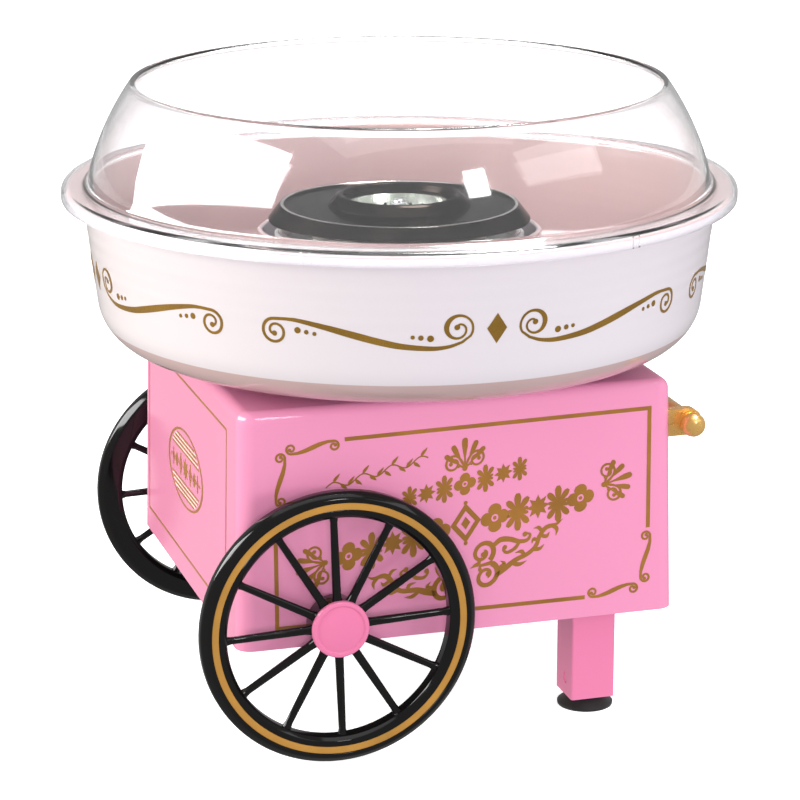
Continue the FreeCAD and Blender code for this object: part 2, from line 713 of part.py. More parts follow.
def heating_element():
    """Sheathed ring element, with its two ends turned down through the dish."""
    sweep = 360 - ELEMENT_GAP
    bar = Part.makeTorus(ELEMENT_R, ELEMENT_TUBE_R, Vector(0, 0, ELEMENT_Z), Z_AXIS, -180, 180, sweep)
    bar = spun(bar, ELEMENT_GAP / 2)
    ends = []
    for x, y in lead_holes():
        ends.append(Part.makeSphere(ELEMENT_TUBE_R, Vector(x, y, ELEMENT_Z)))
        ends.append(ring(0, 1.8, ELEMENT_STEM_Z, ELEMENT_Z, x, y))
    return fused([bar] + ends)


def element_supports():
    posts = []
    for i in range(3):
        angle = math.radians(60 + 120 * i)
        x, y = ELEMENT_R * math.cos(angle), ELEMENT_R * math.sin(angle)
        post = ring(0, 4.0, SHELF_Z[1] + 1.0, ELEMENT_Z + 0.5, x, y)
        torus = Part.makeTorus(ELEMENT_R, ELEMENT_TUBE_R, Vector(0, 0, ELEMENT_Z))
        posts.append(post.cut(torus))
    return group(posts)


def thermal_fuse():
    """Cut-out strapped under the shelf."""
    body = Part.makeCylinder(2.6, 14, Vector(-30, -7, SHELF_Z[0] - 3.2), Vector(0, 1, 0))
    strap = box(-36, -24, -1.6, 1.6, SHELF_Z[0] - 0.6, SHELF_Z[0])
    clip = Part.makeCylinder(3.2, 3.2, Vector(-30, -1.6, SHELF_Z[0] - 3.2), Vector(0, 1, 0))
    return fused([body, strap, clip])


def top_screws():
    """Screws up through the housing's top into the tower, and through the motor's grommets."""
    into_tower = [screw(x, y, HOUSING_Z[1] - HOUSING_WALL, 8) for x, y in tower_screw_places()]
    into_grommets = [screw(x, y, BRACKET_Z[0] - 1.5, 10) for x, y in isolator_places()]
    return group(into_tower + into_grommets)


# ---------------------------------------------------------------- motor


def motor_can():
    top, r, w = MOTOR_Z[1], MOTOR_R, MOTOR_WALL
    return turned([
        (BEARING_R, top - w, 0), (r - w, top - w, 1.0), (r - w, MOTOR_Z[0], 0), (r, MOTOR_Z[0], 0),
        (r, top, 1.5), (BEARING_R, top, 0),
    ])


def motor_end_bell():
    z0, z1 = MOTOR_Z[0] - 3.0, MOTOR_Z[0]
    nose = z0 - 1.5
    bell = turned([
        (BEARING_R, nose, 0), (BEARING_R + 3, nose, 0.8), (BEARING_R + 3.5, z0, 0.5),
        (MOTOR_R, z0, 1.2), (MOTOR_R, z1, 0), (BEARING_R, z1, 0),
    ])
    for i in range(6):
        vent = ring(0, 2.4, z0 - 2, z1 + 1, 13.2, 0)
        bell = bell.cut(spun(vent, 30 + 60 * i))
    return bell


def motor_bearings():
    """Sintered bushes at the motor's two ends."""
    bore = SHAFT_R + RUNNING_GAP
    lower = ring(bore, BEARING_R, MOTOR_Z[0] - 4.5, MOTOR_Z[0] + 2)
    upper = ring(bore, BEARING_R, MOTOR_Z[1] - 4, MOTOR_Z[1])
    return group([lower, upper])


def shelf_bush():
    bore, (under, over), top = SHAFT_R + RUNNING_GAP, SHELF_Z, SHELF_Z[1] + 5.5
    return turned([
        (bore, under, 0), (SHELF_BUSH_R, under, 0), (SHELF_BUSH_R, over, 0), (5.0, top, 0.5), (bore, top, 0),
    ])


def motor_magnets():
    """Two arc magnets stuck inside the can."""
    outer, inner = MOTOR_R - MOTOR_WALL, MOTOR_R - MOTOR_WALL - 2.4
    tube = ring(inner, outer, MOTOR_Z[0] + 6, MOTOR_Z[1] - 8)
    keep = box(0, 30, -9, 9, MOTOR_Z[0], MOTOR_Z[1])
    return group([tube.common(keep), tube.common(spun(keep, 180))])


def motor_bracket():
    x, y = BRACKET_HALF
    plate = slab(rectangle(-x, x, -y, y, 5), *BRACKET_Z)
    plate = plate.cut(ring(0, 7.5, BRACKET_Z[0] - 1, BRACKET_Z[1] + 1))
    for px, py in isolator_places():
        plate = plate.cut(ring(0, 3.2, BRACKET_Z[0] - 1, BRACKET_Z[1] + 1, px, py))
    return plate


def motor_isolators():
    """Rubber grommets between the bracket and the housing's top."""
    top = HOUSING_Z[1] - HOUSING_WALL
    (low, high), waist, brim = BRACKET_Z, 3.2, 5.4
    grommet = turned([
        (SCREW_R, low - 1.5, 0), (brim, low - 1.5, 0.5), (brim, low, 0), (waist, low, 0),
        (waist, high, 0), (brim, high, 0), (brim, top, 0.5), (SCREW_R, top, 0),
    ])
    grommets = []
    for x, y in isolator_places():
        copy = grommet.copy()
        copy.translate(Vector(x, y, 0))
        grommets.append(copy)
    return group(grommets)


def motor_shaft():
    z0, z1 = SHAFT_Z
    shaft = turned([(0, z0, 0), (SHAFT_R, z0, 0.5), (SHAFT_R, z1, 0.8), (0, z1, 0)])
    return shaft.cut(Part.makeCylinder(PIN_R, 10, Vector(-5, 0, PIN_Z), Vector(1, 0, 0)))


def motor_armature():
    """Slotted iron core with a commutator below it."""
    core = ring(SHAFT_R, 14.8, MOTOR_Z[0] + 10, MOTOR_Z[1] - 12)
    for i in range(7):
        slot = box(9.0, 16.0, -0.9, 0.9, MOTOR_Z[0], MOTOR_Z[1])
        core = core.cut(spun(slot, i * 360 / 7))
    commutator = ring(SHAFT_R, 5.5, MOTOR_Z[0] + 3, MOTOR_Z[0] + 10)
    return fused([core, commutator])


def cooling_fan():
    """Pressed fan on the shaft: hub and twisted blades."""
    hub = ring(SHAFT_R, 6.5, *FAN_Z)
    blades = []
    for i in range(FAN_BLADES):
        blade = box(5.5, FAN_R, -0.6, 0.6, FAN_Z[0] + 0.5, FAN_Z[1] - 0.5)
        blade.rotate(Vector(0, 0, sum(FAN_Z) / 2), Vector(1, 0, 0), 35)
        blades.append(spun(blade, i * 360 / FAN_BLADES))
    disc = ring(SHAFT_R, FAN_R - 3, FAN_Z[0], FAN_Z[0] + 1.0)
    return fused([hub, disc] + blades)


def drive_pin():
    return Part.makeCylinder(PIN_R, 10, Vector(-5, 0, PIN_Z), Vector(1, 0, 0))


# ---------------------------------------------------------------- extractor head


def head_dish():
    """Dark spun disc with a flared skirt and a raised bead at its rim."""
    t = HEAD_SHEET
    rim_r, rim_z = HEAD_RIM
    skirt_r, skirt_z = HEAD_SKIRT
    base_z, mouth = HEAD_RING_BASE[1], CUP_R + CUP_SHEET
    return turned([
        (mouth, base_z - t, 0), (rim_r - t, base_z - t, 1.0), (skirt_r - t - 0.3, skirt_z, 0),
        (skirt_r, skirt_z, 0.3), (rim_r, rim_z, 0.6), (rim_r - 1.4, rim_z + 0.1, 0.5),
        (rim_r - 2.6, base_z, 0.8), (mouth, base_z, 0),
    ])


def head_ring():
    """Conical collar round the cup's mouth."""
    base_r, base_z = HEAD_RING_BASE
    top_r, top_z = HEAD_RING_TOP
    mouth = CUP_R + CUP_SHEET
    return turned([
        (mouth, base_z, 0), (base_r, base_z, 0), (base_r, base_z + 1.0, 0.4), (top_r + 0.6, top_z - 0.8, 0.8),
        (top_r - 0.8, top_z, 0.8), (HEAD_RING_BORE, top_z, 0.8), (mouth, base_z + 2.4, 0.4),
    ])


def head_cup():
    """Aluminium sugar cup, with a spun floor that opens into the heated chamber."""
    t, brim = CUP_SHEET, HEAD_RING_BASE[1] + 1.0
    cup = turned([
        (HEAD_HUB_R, CUP_FLOOR - t, 0), (CUP_R + t, CUP_FLOOR - t, 1.8), (CUP_R + t, brim, 0),
        (CUP_R, brim, 0), (CUP_R, CUP_FLOOR, 1.0), (HEAD_HUB_R, CUP_FLOOR, 0),
    ])
    for i in range(24):
        hole = Part.makeCylinder(0.8, 6, Vector(CUP_R - 2, 0, CUP_FLOOR + 2.2), Vector(1, 0, 0))
        cup = cup.cut(spun(hole, i * 15))
    return cup


def head_base():
    """Floor of the heated chamber, on the hub."""
    z0, z1 = CUP_FLOOR - 2 * CUP_SHEET, CUP_FLOOR - CUP_SHEET
    edge = SCREEN_R + 0.8
    return turned([(HEAD_HUB_R, z0, 0), (edge, z0, 0.5), (edge, z1, 0), (HEAD_HUB_R, z1, 0)])


def head_screen():
    """Slotted band that the floss leaves through."""
    z0, z1 = CUP_FLOOR - CUP_SHEET, HEAD_RING_BASE[1] - HEAD_SHEET
    band = ring(SCREEN_R - 0.8, SCREEN_R, z0, z1)
    slots = []
    for i in range(SCREEN_SLOTS):
        slot = box(SCREEN_R - 2, SCREEN_R + 1, -0.5, 0.5, z0 + 1.2, z1 - 1.0)
        slots.append(spun(slot, i * 360 / SCREEN_SLOTS))
    return band.cut(Part.makeCompound(slots))


def head_hub():
    """Hub that slips over the shaft, with a cross slot for the drive pin."""
    z0, z1 = HEAD_HUB_Z
    hub = ring(SHAFT_R + RUNNING_GAP, HEAD_HUB_R, z0, z1)
    half = PIN_R + PIN_GAP
    slot = box(-HEAD_HUB_R - 1, HEAD_HUB_R + 1, -half, half, z0 - 1, PIN_Z + half)
    return hub.cut(slot)


def head_nut():
    """Domed hexagon nut that closes the hub."""
    z0 = HEAD_HUB_Z[1]
    angles = [math.radians(60 * i) for i in range(6)]
    hexagon = [(NUT_R * math.cos(a), NUT_R * math.sin(a), 0) for a in angles]
    edge, top = NUT_R + 0.1, z0 + 2.8
    chamfer = [(0, z0, 0), (edge, z0, 0), (edge, z0 + 2, 0), (NUT_R - 0.9, top, 0), (0, top, 0)]
    body = slab(hexagon, z0, z0 + 2.6).common(turned(chamfer))
    dome = turned([(0, z0 + 2.0, 0), (2.7, z0 + 2.0, 0), (2.7, z0 + 3.8, 1.5), (0, z0 + 4.3, 0)])
    return fused([body, dome])


# ---------------------------------------------------------------- switch, gland and wiring


def switch_pivot():
    return Vector(SWITCH_X, wall_y(SWITCH_Z) - 2.4, SWITCH_Z)


def switch_block(size, grow, y0, y1):
    """Box on the switch's middle; y0 and y1 are measured out from the wall."""
    half_x, half_z = size[0] / 2 + grow, size[1] / 2 + grow
    face = wall_y(SWITCH_Z)
    return box(
        SWITCH_X - half_x, SWITCH_X + half_x, face + y0, face + y1, SWITCH_Z - half_z, SWITCH_Z + half_z
    )


def switch_body():
    """Snap-in switch case with a bezel outside the wall and a pocket for the rocker."""
    bezel = switch_block(SWITCH_BEZEL, 0, -0.5, 2.0)
    rim = [e for e in bezel.Edges if all(v.Point.y > wall_y(SWITCH_Z) + 1 for v in e.Vertexes)]
    bezel = bezel.makeFillet(0.9, rim).cut(housing_outside())
    body = fused([bezel, switch_block(SWITCH_BEZEL, -BEZEL_LIP, -SWITCH_DEPTH, 0.4)])
    return body.cut(switch_block(SWITCH_POCKET, 0, -9.0, 5.0)).cut(switch_pin())


def switch_pin():
    length = SWITCH_POCKET[0] + 1.6
    start = switch_pivot() - Vector(length / 2, 0, 0)
    return Part.makeCylinder(SWITCH_PIN_R, length, start, Vector(1, 0, 0))


def switch_rocker():
    """Rocker with a shallow V face, at rest with its lower half pressed in."""
    pivot = switch_pivot()
    low, top = -3.6, 4.9
    corners = [
        (low, -2.4, 1.5), (-0.4, -7.2, 0.8), (top, -7.2, 0.8), (3.6, 0, 6.0),
        (top, 7.2, 0.8), (-0.4, 7.2, 0.8), (low, 2.4, 1.5),
    ]
    half = SWITCH_POCKET[0] / 2 - 0.4
    wire = rounded_wire(corners, lambda p: Vector(pivot.x - half, pivot.y + p.x, pivot.z + p.y))
    rocker = Part.Face(wire).extrude(Vector(2 * half, 0, 0))
    bore = Part.makeCylinder(SWITCH_PIN_R + RUNNING_GAP, 20, pivot - Vector(10, 0, 0), Vector(1, 0, 0))
    return spun(rocker.cut(bore), -ROCKER_TILT, pivot, Vector(1, 0, 0))


def switch_terminals():
    """Two blade terminals behind the switch."""
    back = wall_y(SWITCH_Z) - SWITCH_DEPTH
    blades = []
    for z in (SWITCH_Z - 5, SWITCH_Z + 5):
        blades.append(box(SWITCH_X - 2.4, SWITCH_X + 2.4, back - BLADE_LENGTH, back, z - 0.4, z + 0.4))
    return group(blades)


def cord_gland():
    """Grommet in the rear wall for the supply cord."""
    face = wall_y(GLAND_Z)
    seat = GLAND_BORE_R + 2
    gland = turned([
        (GLAND_BORE_R, -5.0, 0), (seat + 1.8, -5.0, 0.5), (seat + 1.8, -3.0, 0), (seat, -3.0, 0),
        (seat, 0.3, 0), (seat + 2.4, 0.3, 0), (seat + 2.4, 1.8, 0.8), (seat - 0.4, 4.0, 0.8),
        (GLAND_BORE_R, 4.0, 0),
    ])
    gland.rotate(Vector(0, 0, 0), Vector(1, 0, 0), -90)
    gland.translate(Vector(GLAND_X, face, GLAND_Z))
    return gland


def terminal_ways():
    return [(TERMINAL_X + i * TERMINAL_PITCH, TERMINAL_Y + TERMINAL_DEPTH / 2) for i in range(3)]


def terminal_block():
    x0, x1 = TERMINAL_X - 6, TERMINAL_X + 2 * TERMINAL_PITCH + 6
    y0, y1, z0, z1 = TERMINAL_Y, TERMINAL_Y + TERMINAL_DEPTH, PLATE_Z[1], PLATE_Z[1] + 11
    block = box(x0, x1, y0, y1, z0, z1)
    for x, y in terminal_ways():
        block = block.cut(ring(0, 2.6, z1 - 4, z1 + 1, x, y))
        block = block.cut(across(1.7, x, TERMINAL_Z, y0 - 1, y1 + 1))
    return block


def terminal_screws():
    z0 = PLATE_Z[1] + 7
    return group([ring(0, 2.2, z0, z0 + 2.5, x, y) for x, y in terminal_ways()])


def rectifier_board():
    (x0, y0), (length, width) = BOARD_CORNER, BOARD_SIZE
    board = box(x0, x0 + length, y0, y0 + width, *BOARD_Z)
    corners = [(x, y) for x in (x0 + 4, x0 + length - 4) for y in (y0 + 4, y0 + width - 4)]
    feet = [ring(0, 2.2, PLATE_Z[1], BOARD_Z[0], x, y) for x, y in corners]
    return fused([board] + feet)


def rectifier_components():
    """Four diodes, a film capacitor and a choke on the board."""
    (x0, y0), z0 = BOARD_CORNER, BOARD_Z[1]
    pieces = []
    for i in range(4):
        pieces.append(Part.makeCylinder(1.4, 6, Vector(x0 + 4 + i * 4.5, y0 + 7, z0 + 1.4), Vector(0, 1, 0)))
    pieces.append(box(x0 + 22, x0 + 34, y0 + 4, y0 + 10, z0, z0 + 9))
    pieces.append(ring(1.2, 4.0, z0, z0 + 8, x0 + 37, y0 + 15))
    return group(pieces)


def heater_leads():
    """Sleeved leads from the element's ends down to the terminal block."""
    leads = []
    for i, (x, y) in enumerate(lead_holes()):
        block_x = TERMINAL_X + i * TERMINAL_PITCH
        bend_x, bend_y = 19.5 - 6.5 * i, 18.5 + 5 * i
        points = [
            (x, y, ELEMENT_STEM_Z), (x - 1, y + 3, 173), (bend_x, bend_y, 161), (bend_x, bend_y + 1, 143),
            (block_x, bend_y + 6, 100), (block_x, bend_y + 8, 68), (block_x, 37, TERMINAL_Z + 1),
            (block_x, TERMINAL_Y, TERMINAL_Z),
        ]
        leads.append(wire_run(points, 1.3))
    return group(leads)


def motor_leads():
    """Leads from the motor's end bell to the rectifier board."""
    z = MOTOR_Z[0] - 3.0
    leads = []
    for side in (-1, 1):
        x = 6.0 * side
        points = [
            (x, -9.0, z), (x, -9.5, z - 9), (x - 1, -20, z - 19), (x - 3, -34, z - 23),
            (x - 5, -44, z - 25), (x - 5, -46, BOARD_Z[1] + 0.4),
        ]
        leads.append(wire_run(points, 1.1))
    return group(leads)


def switch_leads():
    """Leads from the switch's blades to the terminal block."""
    start = wall_y(SWITCH_Z) - SWITCH_DEPTH - BLADE_LENGTH - CRIMP_GAP
    end = TERMINAL_Y + TERMINAL_DEPTH
    leads = []
    for i, z in enumerate((SWITCH_Z - 5, SWITCH_Z + 5)):
        block_x = TERMINAL_X + (i + 1) * TERMINAL_PITCH
        mid_x = (SWITCH_X + block_x) / 2 + 2 * i
        points = [
            (SWITCH_X, start, z), (SWITCH_X - 1, start - 4, z - 0.5), (mid_x, end + 4 - 0.5 * i, z - 9),
            (block_x, end + 4, TERMINAL_Z + 1), (block_x, end, TERMINAL_Z),
        ]
        leads.append(wire_run(points, 1.2))
    return group(leads)


# ---------------------------------------------------------------- the assembly

SIDES = (("front", -1), ("rear", 1))

PARTS = {
    "cart_housing": cart_housing(),
    "base_plate": base_plate(),
    "base_screws": base_screws(),
    "axle": axle(),
    "axle_push_nuts": axle_push_nuts(),
    "axle_bushes": axle_bushes(),
    "axle_washers": axle_washers(),
    "axle_carriers": axle_carriers(),
    "handle_bar": handle_bar(),
    "handle_screws": handle_screws(),
    "bowl": bowl(),
    "rim_guard": rim_guard(),
    "heater_tower": heater_tower(),
    "heater_dish": heater_dish(),
    "heating_element": heating_element(),
    "element_supports": element_supports(),
    "thermal_fuse": thermal_fuse(),
    "top_screws": top_screws(),
    "motor_can": motor_can(),
    "motor_end_bell": motor_end_bell(),
    "motor_bearings": motor_bearings(),
    "shelf_bush": shelf_bush(),
    "motor_magnets": motor_magnets(),
    "motor_bracket": motor_bracket(),
    "motor_isolators": motor_isolators(),
    "motor_shaft": motor_shaft(),
    "motor_armature": motor_armature(),
    "cooling_fan": cooling_fan(),
    "drive_pin": drive_pin(),
    "head_dish": head_dish(),
    "head_ring": head_ring(),
    "head_cup": head_cup(),
    "head_base": head_base(),
    "head_screen": head_screen(),
    "head_hub": head_hub(),
    "head_nut": head_nut(),
    "switch_body": switch_body(),
    "switch_pin": switch_pin(),
    "switch_rocker": switch_rocker(),
    "switch_terminals": switch_terminals(),
    "cord_gland": cord_gland(),
    "terminal_block": terminal_block(),
    "terminal_screws": terminal_screws(),
    "rectifier_board": rectifier_board(),
    "rectifier_components": rectifier_components(),
    "heater_leads": heater_leads(),
    "motor_leads": motor_leads(),
    "switch_leads": switch_leads(),
}
for (name, side), (leg_x, leg_y) in zip(SIDES, leg_centres()):
    PARTS[name + "_leg"] = leg(side)
    PARTS[name + "_foot"] = suction_foot(leg_x, leg_y)
    PARTS[name + "_wheel"] = wheel(side)
    PARTS[name + "_hubcap"] = hubcap(side)
    PARTS[name + "_handle_arm"] = handle_arm(side)
    PARTS[name + "_handle_ball"] = handle_ball(side)

os.makedirs("parts", exist_ok=True)
for node, shape in sorted(PARTS.items()):
    if not shape.isValid() or not shape.Solids or any(s.Volume <= 0 for s in shape.Solids):
        raise ValueError(node + " is not a set of valid solids")
    shape.exportStep("parts/" + node + ".step")
    print(f"{node:22s} {len(shape.Solids):3d} solids {shape.Volume / 1000:9.2f} cm3")
print(len(PARTS), "nodes")
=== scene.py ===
import math

import bmesh
import bpy
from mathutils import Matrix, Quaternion, Vector
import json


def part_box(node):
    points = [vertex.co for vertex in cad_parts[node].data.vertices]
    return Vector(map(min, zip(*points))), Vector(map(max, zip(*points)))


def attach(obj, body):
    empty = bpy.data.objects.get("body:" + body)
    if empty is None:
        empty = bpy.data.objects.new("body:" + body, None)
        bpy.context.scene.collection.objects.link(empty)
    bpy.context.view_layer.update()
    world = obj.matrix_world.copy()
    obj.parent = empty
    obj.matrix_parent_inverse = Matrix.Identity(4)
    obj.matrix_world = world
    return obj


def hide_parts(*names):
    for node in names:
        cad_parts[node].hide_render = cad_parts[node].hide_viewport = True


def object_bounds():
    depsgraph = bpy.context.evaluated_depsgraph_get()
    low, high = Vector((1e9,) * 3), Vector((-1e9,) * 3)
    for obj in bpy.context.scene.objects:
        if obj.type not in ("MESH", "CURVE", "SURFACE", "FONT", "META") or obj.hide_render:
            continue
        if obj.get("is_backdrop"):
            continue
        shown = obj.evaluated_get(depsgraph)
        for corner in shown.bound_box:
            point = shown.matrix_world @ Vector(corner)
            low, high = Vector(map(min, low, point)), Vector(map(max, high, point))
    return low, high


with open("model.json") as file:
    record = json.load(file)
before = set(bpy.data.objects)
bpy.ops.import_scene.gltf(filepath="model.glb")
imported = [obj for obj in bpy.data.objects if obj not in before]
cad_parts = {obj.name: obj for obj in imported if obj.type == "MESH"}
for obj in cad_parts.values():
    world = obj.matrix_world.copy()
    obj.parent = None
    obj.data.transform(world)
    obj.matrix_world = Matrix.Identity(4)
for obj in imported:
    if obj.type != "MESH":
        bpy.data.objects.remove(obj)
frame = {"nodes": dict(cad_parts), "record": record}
cad_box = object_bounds()

# Looks of a table-top candy floss cart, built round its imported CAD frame. The front panel faces -Y,
# the wheels are at -X, the handle at +X, and the bowl stands round Z. Shapes are drawn in
# millimetres, and build() turns them into metres.

MM = 0.001


def extent(node):
    """Lowest and highest corner of a CAD node, in millimetres."""
    low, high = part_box(node)
    return low / MM, high / MM


# ---------------------------------------------------------------- sizes, in millimetres

HOUSE_LOW, HOUSE_HIGH = extent("cart_housing")
HOUSE_DRAFT = 2.3            # how far each wall stands further out at the bottom

BOWL_LOW, BOWL_HIGH = extent("bowl")
BOWL_RIM_R, BOWL_RIM = BOWL_HIGH.x, BOWL_HIGH.z
BOWL_BASE = BOWL_LOW.z + 6.0
BOWL_WALL = 2.5
BOWL_TOP_R = 143.2
BOWL_LOW_R = 135.2
BOWL_CORNER_R = 21.5
BOWL_FOOT = (68.0, 72.0)
COLLAR_R = 62.4
COLLAR_TOP = 208.0
RIPPLE = 0.10                # height of the ripples left in the bowl's wall by its mould
RIPPLED = (186.0, 226.0)     # heights that the ripples fade out at

GUARD_LOW, GUARD_HIGH = extent("rim_guard")
GUARD_R, GUARD_TOP = GUARD_HIGH.x, GUARD_HIGH.z
GUARD_SKIRT = GUARD_LOW.z
GUARD_FLANGE = GUARD_SKIRT + 6.4
GUARD_WALL = 1.8
GUARD_BASE_R = 141.1
GUARD_BULGE = (133.6, 255.6)
GUARD_TOP_R = 121.2
TAB_HALF = 1.8               # half the width of a clip tab on the skirt
TAB_CUT = 0.55               # depth of the cut at each edge of a tab
TAB_BEARINGS = [-121.5 + step + turn for turn in (0, 120, 240) for step in (0, 55)]

WHEEL_LOW, WHEEL_HIGH = extent("front_wheel")
WHEEL_R = (WHEEL_HIGH.x - WHEEL_LOW.x) / 2
WHEEL_X = (WHEEL_HIGH.x + WHEEL_LOW.x) / 2
RIM_OUT = (103.6, -WHEEL_LOW.y)
HUB_IN = -WHEEL_HIGH.y
RIM_INNER_R = 49.7
STRIPE_R = (53.7, 56.8)
HUB_R = 12.2
HUB_OUT = 111.0
HUB_SOCKET = (9.0, 107.0)    # radius and floor of the hole that the cap is pressed into
CAP_R = 12.7
CAP_PLUG_R = 8.6
CAP_CROWN_R = 10.0
CAP_GROOVE = 112.65          # how far out the groove round the crown lies
CAP_CROWN = 1.3              # how much further out the crown's middle is
SPOKES = 12
SPOKE_PHASE = 2.0            # degrees that the spokes stand from the vertical
SPOKE_OUT = 107.6
AXLE_BORE_R = 4.05

INK = 0.12                   # how far a print stands off the surface it is on
INK_ROOT = 0.10              # how far it reaches into that surface
SLANT = 0.155                # rise of the front panel's ornament along its length
PANEL_MIDDLE = 1.5           # the x that the slanted ornament is balanced on
FRAME_LOW, FRAME_HIGH = 60.2, 142.4    # the plain frames of the other three panels
FRAME_LINE = 1.0


# ---------------------------------------------------------------- drawing helpers


def build(name, points, faces, body, materials, pick=None, crease=35.0):
    """Mesh object from points in millimetres. It rides on a body and takes its finish from a slot."""
    mesh = bpy.data.meshes.new(name)
    mesh.from_pydata([Vector(p) * MM for p in points], [], faces)
    for material in materials:
        mesh.materials.append(material)
    shape = bmesh.new()
    shape.from_mesh(mesh)
    bmesh.ops.remove_doubles(shape, verts=shape.verts, dist=1e-7)
    bmesh.ops.recalc_face_normals(shape, faces=shape.faces)
    shape.to_mesh(mesh)
    shape.free()
    if pick:
        for polygon in mesh.polygons:
            polygon.material_index = pick(polygon.center / MM)
    mesh.shade_smooth()
    mesh.set_sharp_from_angle(angle=math.radians(crease))
    piece = bpy.data.objects.new(name, mesh)
    bpy.context.scene.collection.objects.link(piece)
    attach(piece, body)
    return piece


def rounded(corners, turn=9.0):
    """Closed outline through (u, v, radius) corners, with an arc of short steps at each radius."""
    outline = []
    for i, (u, v, radius) in enumerate(corners):
        here = Vector((u, v))
        if radius <= 0:
            outline.append(here)
            continue
        before = (Vector(corners[i - 1][:2]) - here).normalized()
        after = (Vector(corners[(i + 1) % len(corners)][:2]) - here).normalized()
        half = before.angle(after) / 2
        middle = here + (before + after).normalized() * (radius / math.sin(half))
        start = here + before * (radius / math.tan(half)) - middle
        end = here + after * (radius / math.tan(half)) - middle
        sweep = math.atan2(start.x * end.y - start.y * end.x, start.dot(end))
        steps = max(3, round(abs(math.degrees(sweep)) / turn))
        for k in range(steps + 1):
            a = sweep * k / steps
            c, s = math.cos(a), math.sin(a)
            outline.append(middle + Vector((start.x * c - start.y * s, start.x * s + start.y * c)))
    return outline


def divided(outline, longest):
    """The same closed outline with its long sides cut into shorter ones."""
    cut = []
    for a, b in zip(outline, outline[1:] + outline[:1]):
        parts = max(1, math.ceil((b - a).length / longest))
        cut += [a.lerp(b, k / parts) for k in range(parts)]
    return cut


def turned(outline, place, bearings):
    """Points and faces of a closed (radius, height) outline carried round an axis."""
    count, around = len(outline), len(bearings)
    points = [place(p.x, p.y, math.radians(a)) for a in bearings for p in outline]
    faces = []
    for i in range(around):
        here, there = i * count, (i + 1) % around * count
        for j in range(count):
            k = (j + 1) % count
            faces.append((here + j, here + k, there + k, there + j))
    return points, faces


def even(steps):
    return [360 * i / steps for i in range(steps)]


def about_z(radius, height, angle):
    return radius * math.cos(angle), radius * math.sin(angle), height


def about_axle(side):
    """Places a radius and a distance out from the cart's middle, on one side's wheel."""
    def place(radius, out, angle):
        return WHEEL_X + radius * math.cos(angle), side * out, WHEEL_R + radius * math.sin(angle)
    return place


def joined(*parts):
    """Points and faces of several shapes as one."""
    points, faces = [], []
    for more_points, more_faces in parts:
        faces += [tuple(len(points) + i for i in face) for face in more_faces]
        points += more_points
    return points, faces


# ---------------------------------------------------------------- flat ornament helpers
#
# An ornament is a list of shapes, a shape is a list of cells, and a cell is a loop of (u, v) points.


def through(knots, steps=8):
    """Smooth curve through knots that each hold the same number of values."""
    knots = [Vector(k) for k in knots]
    line = [2 * knots[0] - knots[1]] + knots + [2 * knots[-1] - knots[-2]]
    curve = []
    for a, b, c, d in zip(line, line[1:], line[2:], line[3:]):
        for k in range(steps):
            t = k / steps
            curve.append(
                (2 * b + (c - a) * t + (2 * a - 5 * b + 4 * c - d) * t ** 2
                 + (3 * b - a - 3 * c + d) * t ** 3) / 2
            )
    return curve + [knots[-1]]


def curl(centre, radii, start, turn, widths, bend=1.5):
    """Spiral of (u, v, width) points that tightens from the first radius to the second."""
    count = max(8, round(abs(turn) / 12))
    line = []
    for k in range(count + 1):
        t = k / count
        a = math.radians(start + turn * t)
        r = radii[1] + (radii[0] - radii[1]) * (1 - t ** bend)
        w = widths[0] + (widths[1] - widths[0]) * t
        line.append(Vector((centre[0] + r * math.cos(a), centre[1] + r * math.sin(a), w)))
    return line


def strip(line):
    """Stroke along (u, v, width) points."""
    sides = []
    for i, p in enumerate(line):
        p = Vector(p)
        along = (Vector(line[min(i + 1, len(line) - 1)]) - Vector(line[max(i - 1, 0)])).xy.normalized()
        across = Vector((-along.y, along.x)) * p.z / 2
        sides.append((tuple(p.xy + across), tuple(p.xy - across)))
    return [[a[0], a[1], b[1], b[0]] for a, b in zip(sides, sides[1:])]


def stroke(*knots):
    return strip(through(knots))


def bar(u0, v0, u1, v1, width):
    return strip([(u0, v0, width), (u1, v1, width)])


def fan(centre, loop):
    """Filled shape whose every point can be seen from its centre."""
    loop = [tuple(p) for p in loop]
    return [[tuple(centre), a, b] for a, b in zip(loop, loop[1:] + loop[:1])]


def polar(centre, radius, steps=24):
    """Loop round a centre, where radius is a number or a function of the angle."""
    size = radius if callable(radius) else lambda a: radius
    angles = [2 * math.pi * k / steps for k in range(steps)]
    return [(centre[0] + size(a) * math.cos(a), centre[1] + size(a) * math.sin(a)) for a in angles]


def dot(u, v, radius):
    return fan((u, v), polar((u, v), radius, 16))


def between(outer, inner):
    """Band between two loops with the same number of points."""
    n = len(outer)
    return [[outer[i], outer[(i + 1) % n], inner[(i + 1) % n], inner[i]] for i in range(n)]


def diamond(u, v, half_width, half_height):
    return [(u + half_width, v), (u, v + half_height), (u - half_width, v), (u, v - half_height)]


def moved(shapes, du=0.0, dv=0.0, size=1.0, turn=0.0, lean=0.0, mirror=1):
    """Shapes mirrored, sized, turned, leaned upwards along u, then shifted."""
    c, s = math.cos(math.radians(turn)) * size, math.sin(math.radians(turn)) * size

    def move(p):
        u, v = p[0] * mirror, p[1]
        u, v = u * c - v * s, u * s + v * c
        return u + du, v + dv + lean * u
    return [[[move(p) for p in cell] for cell in shape] for shape in shapes]


def both_hands(shapes):
    return shapes + moved(shapes, mirror=-1)


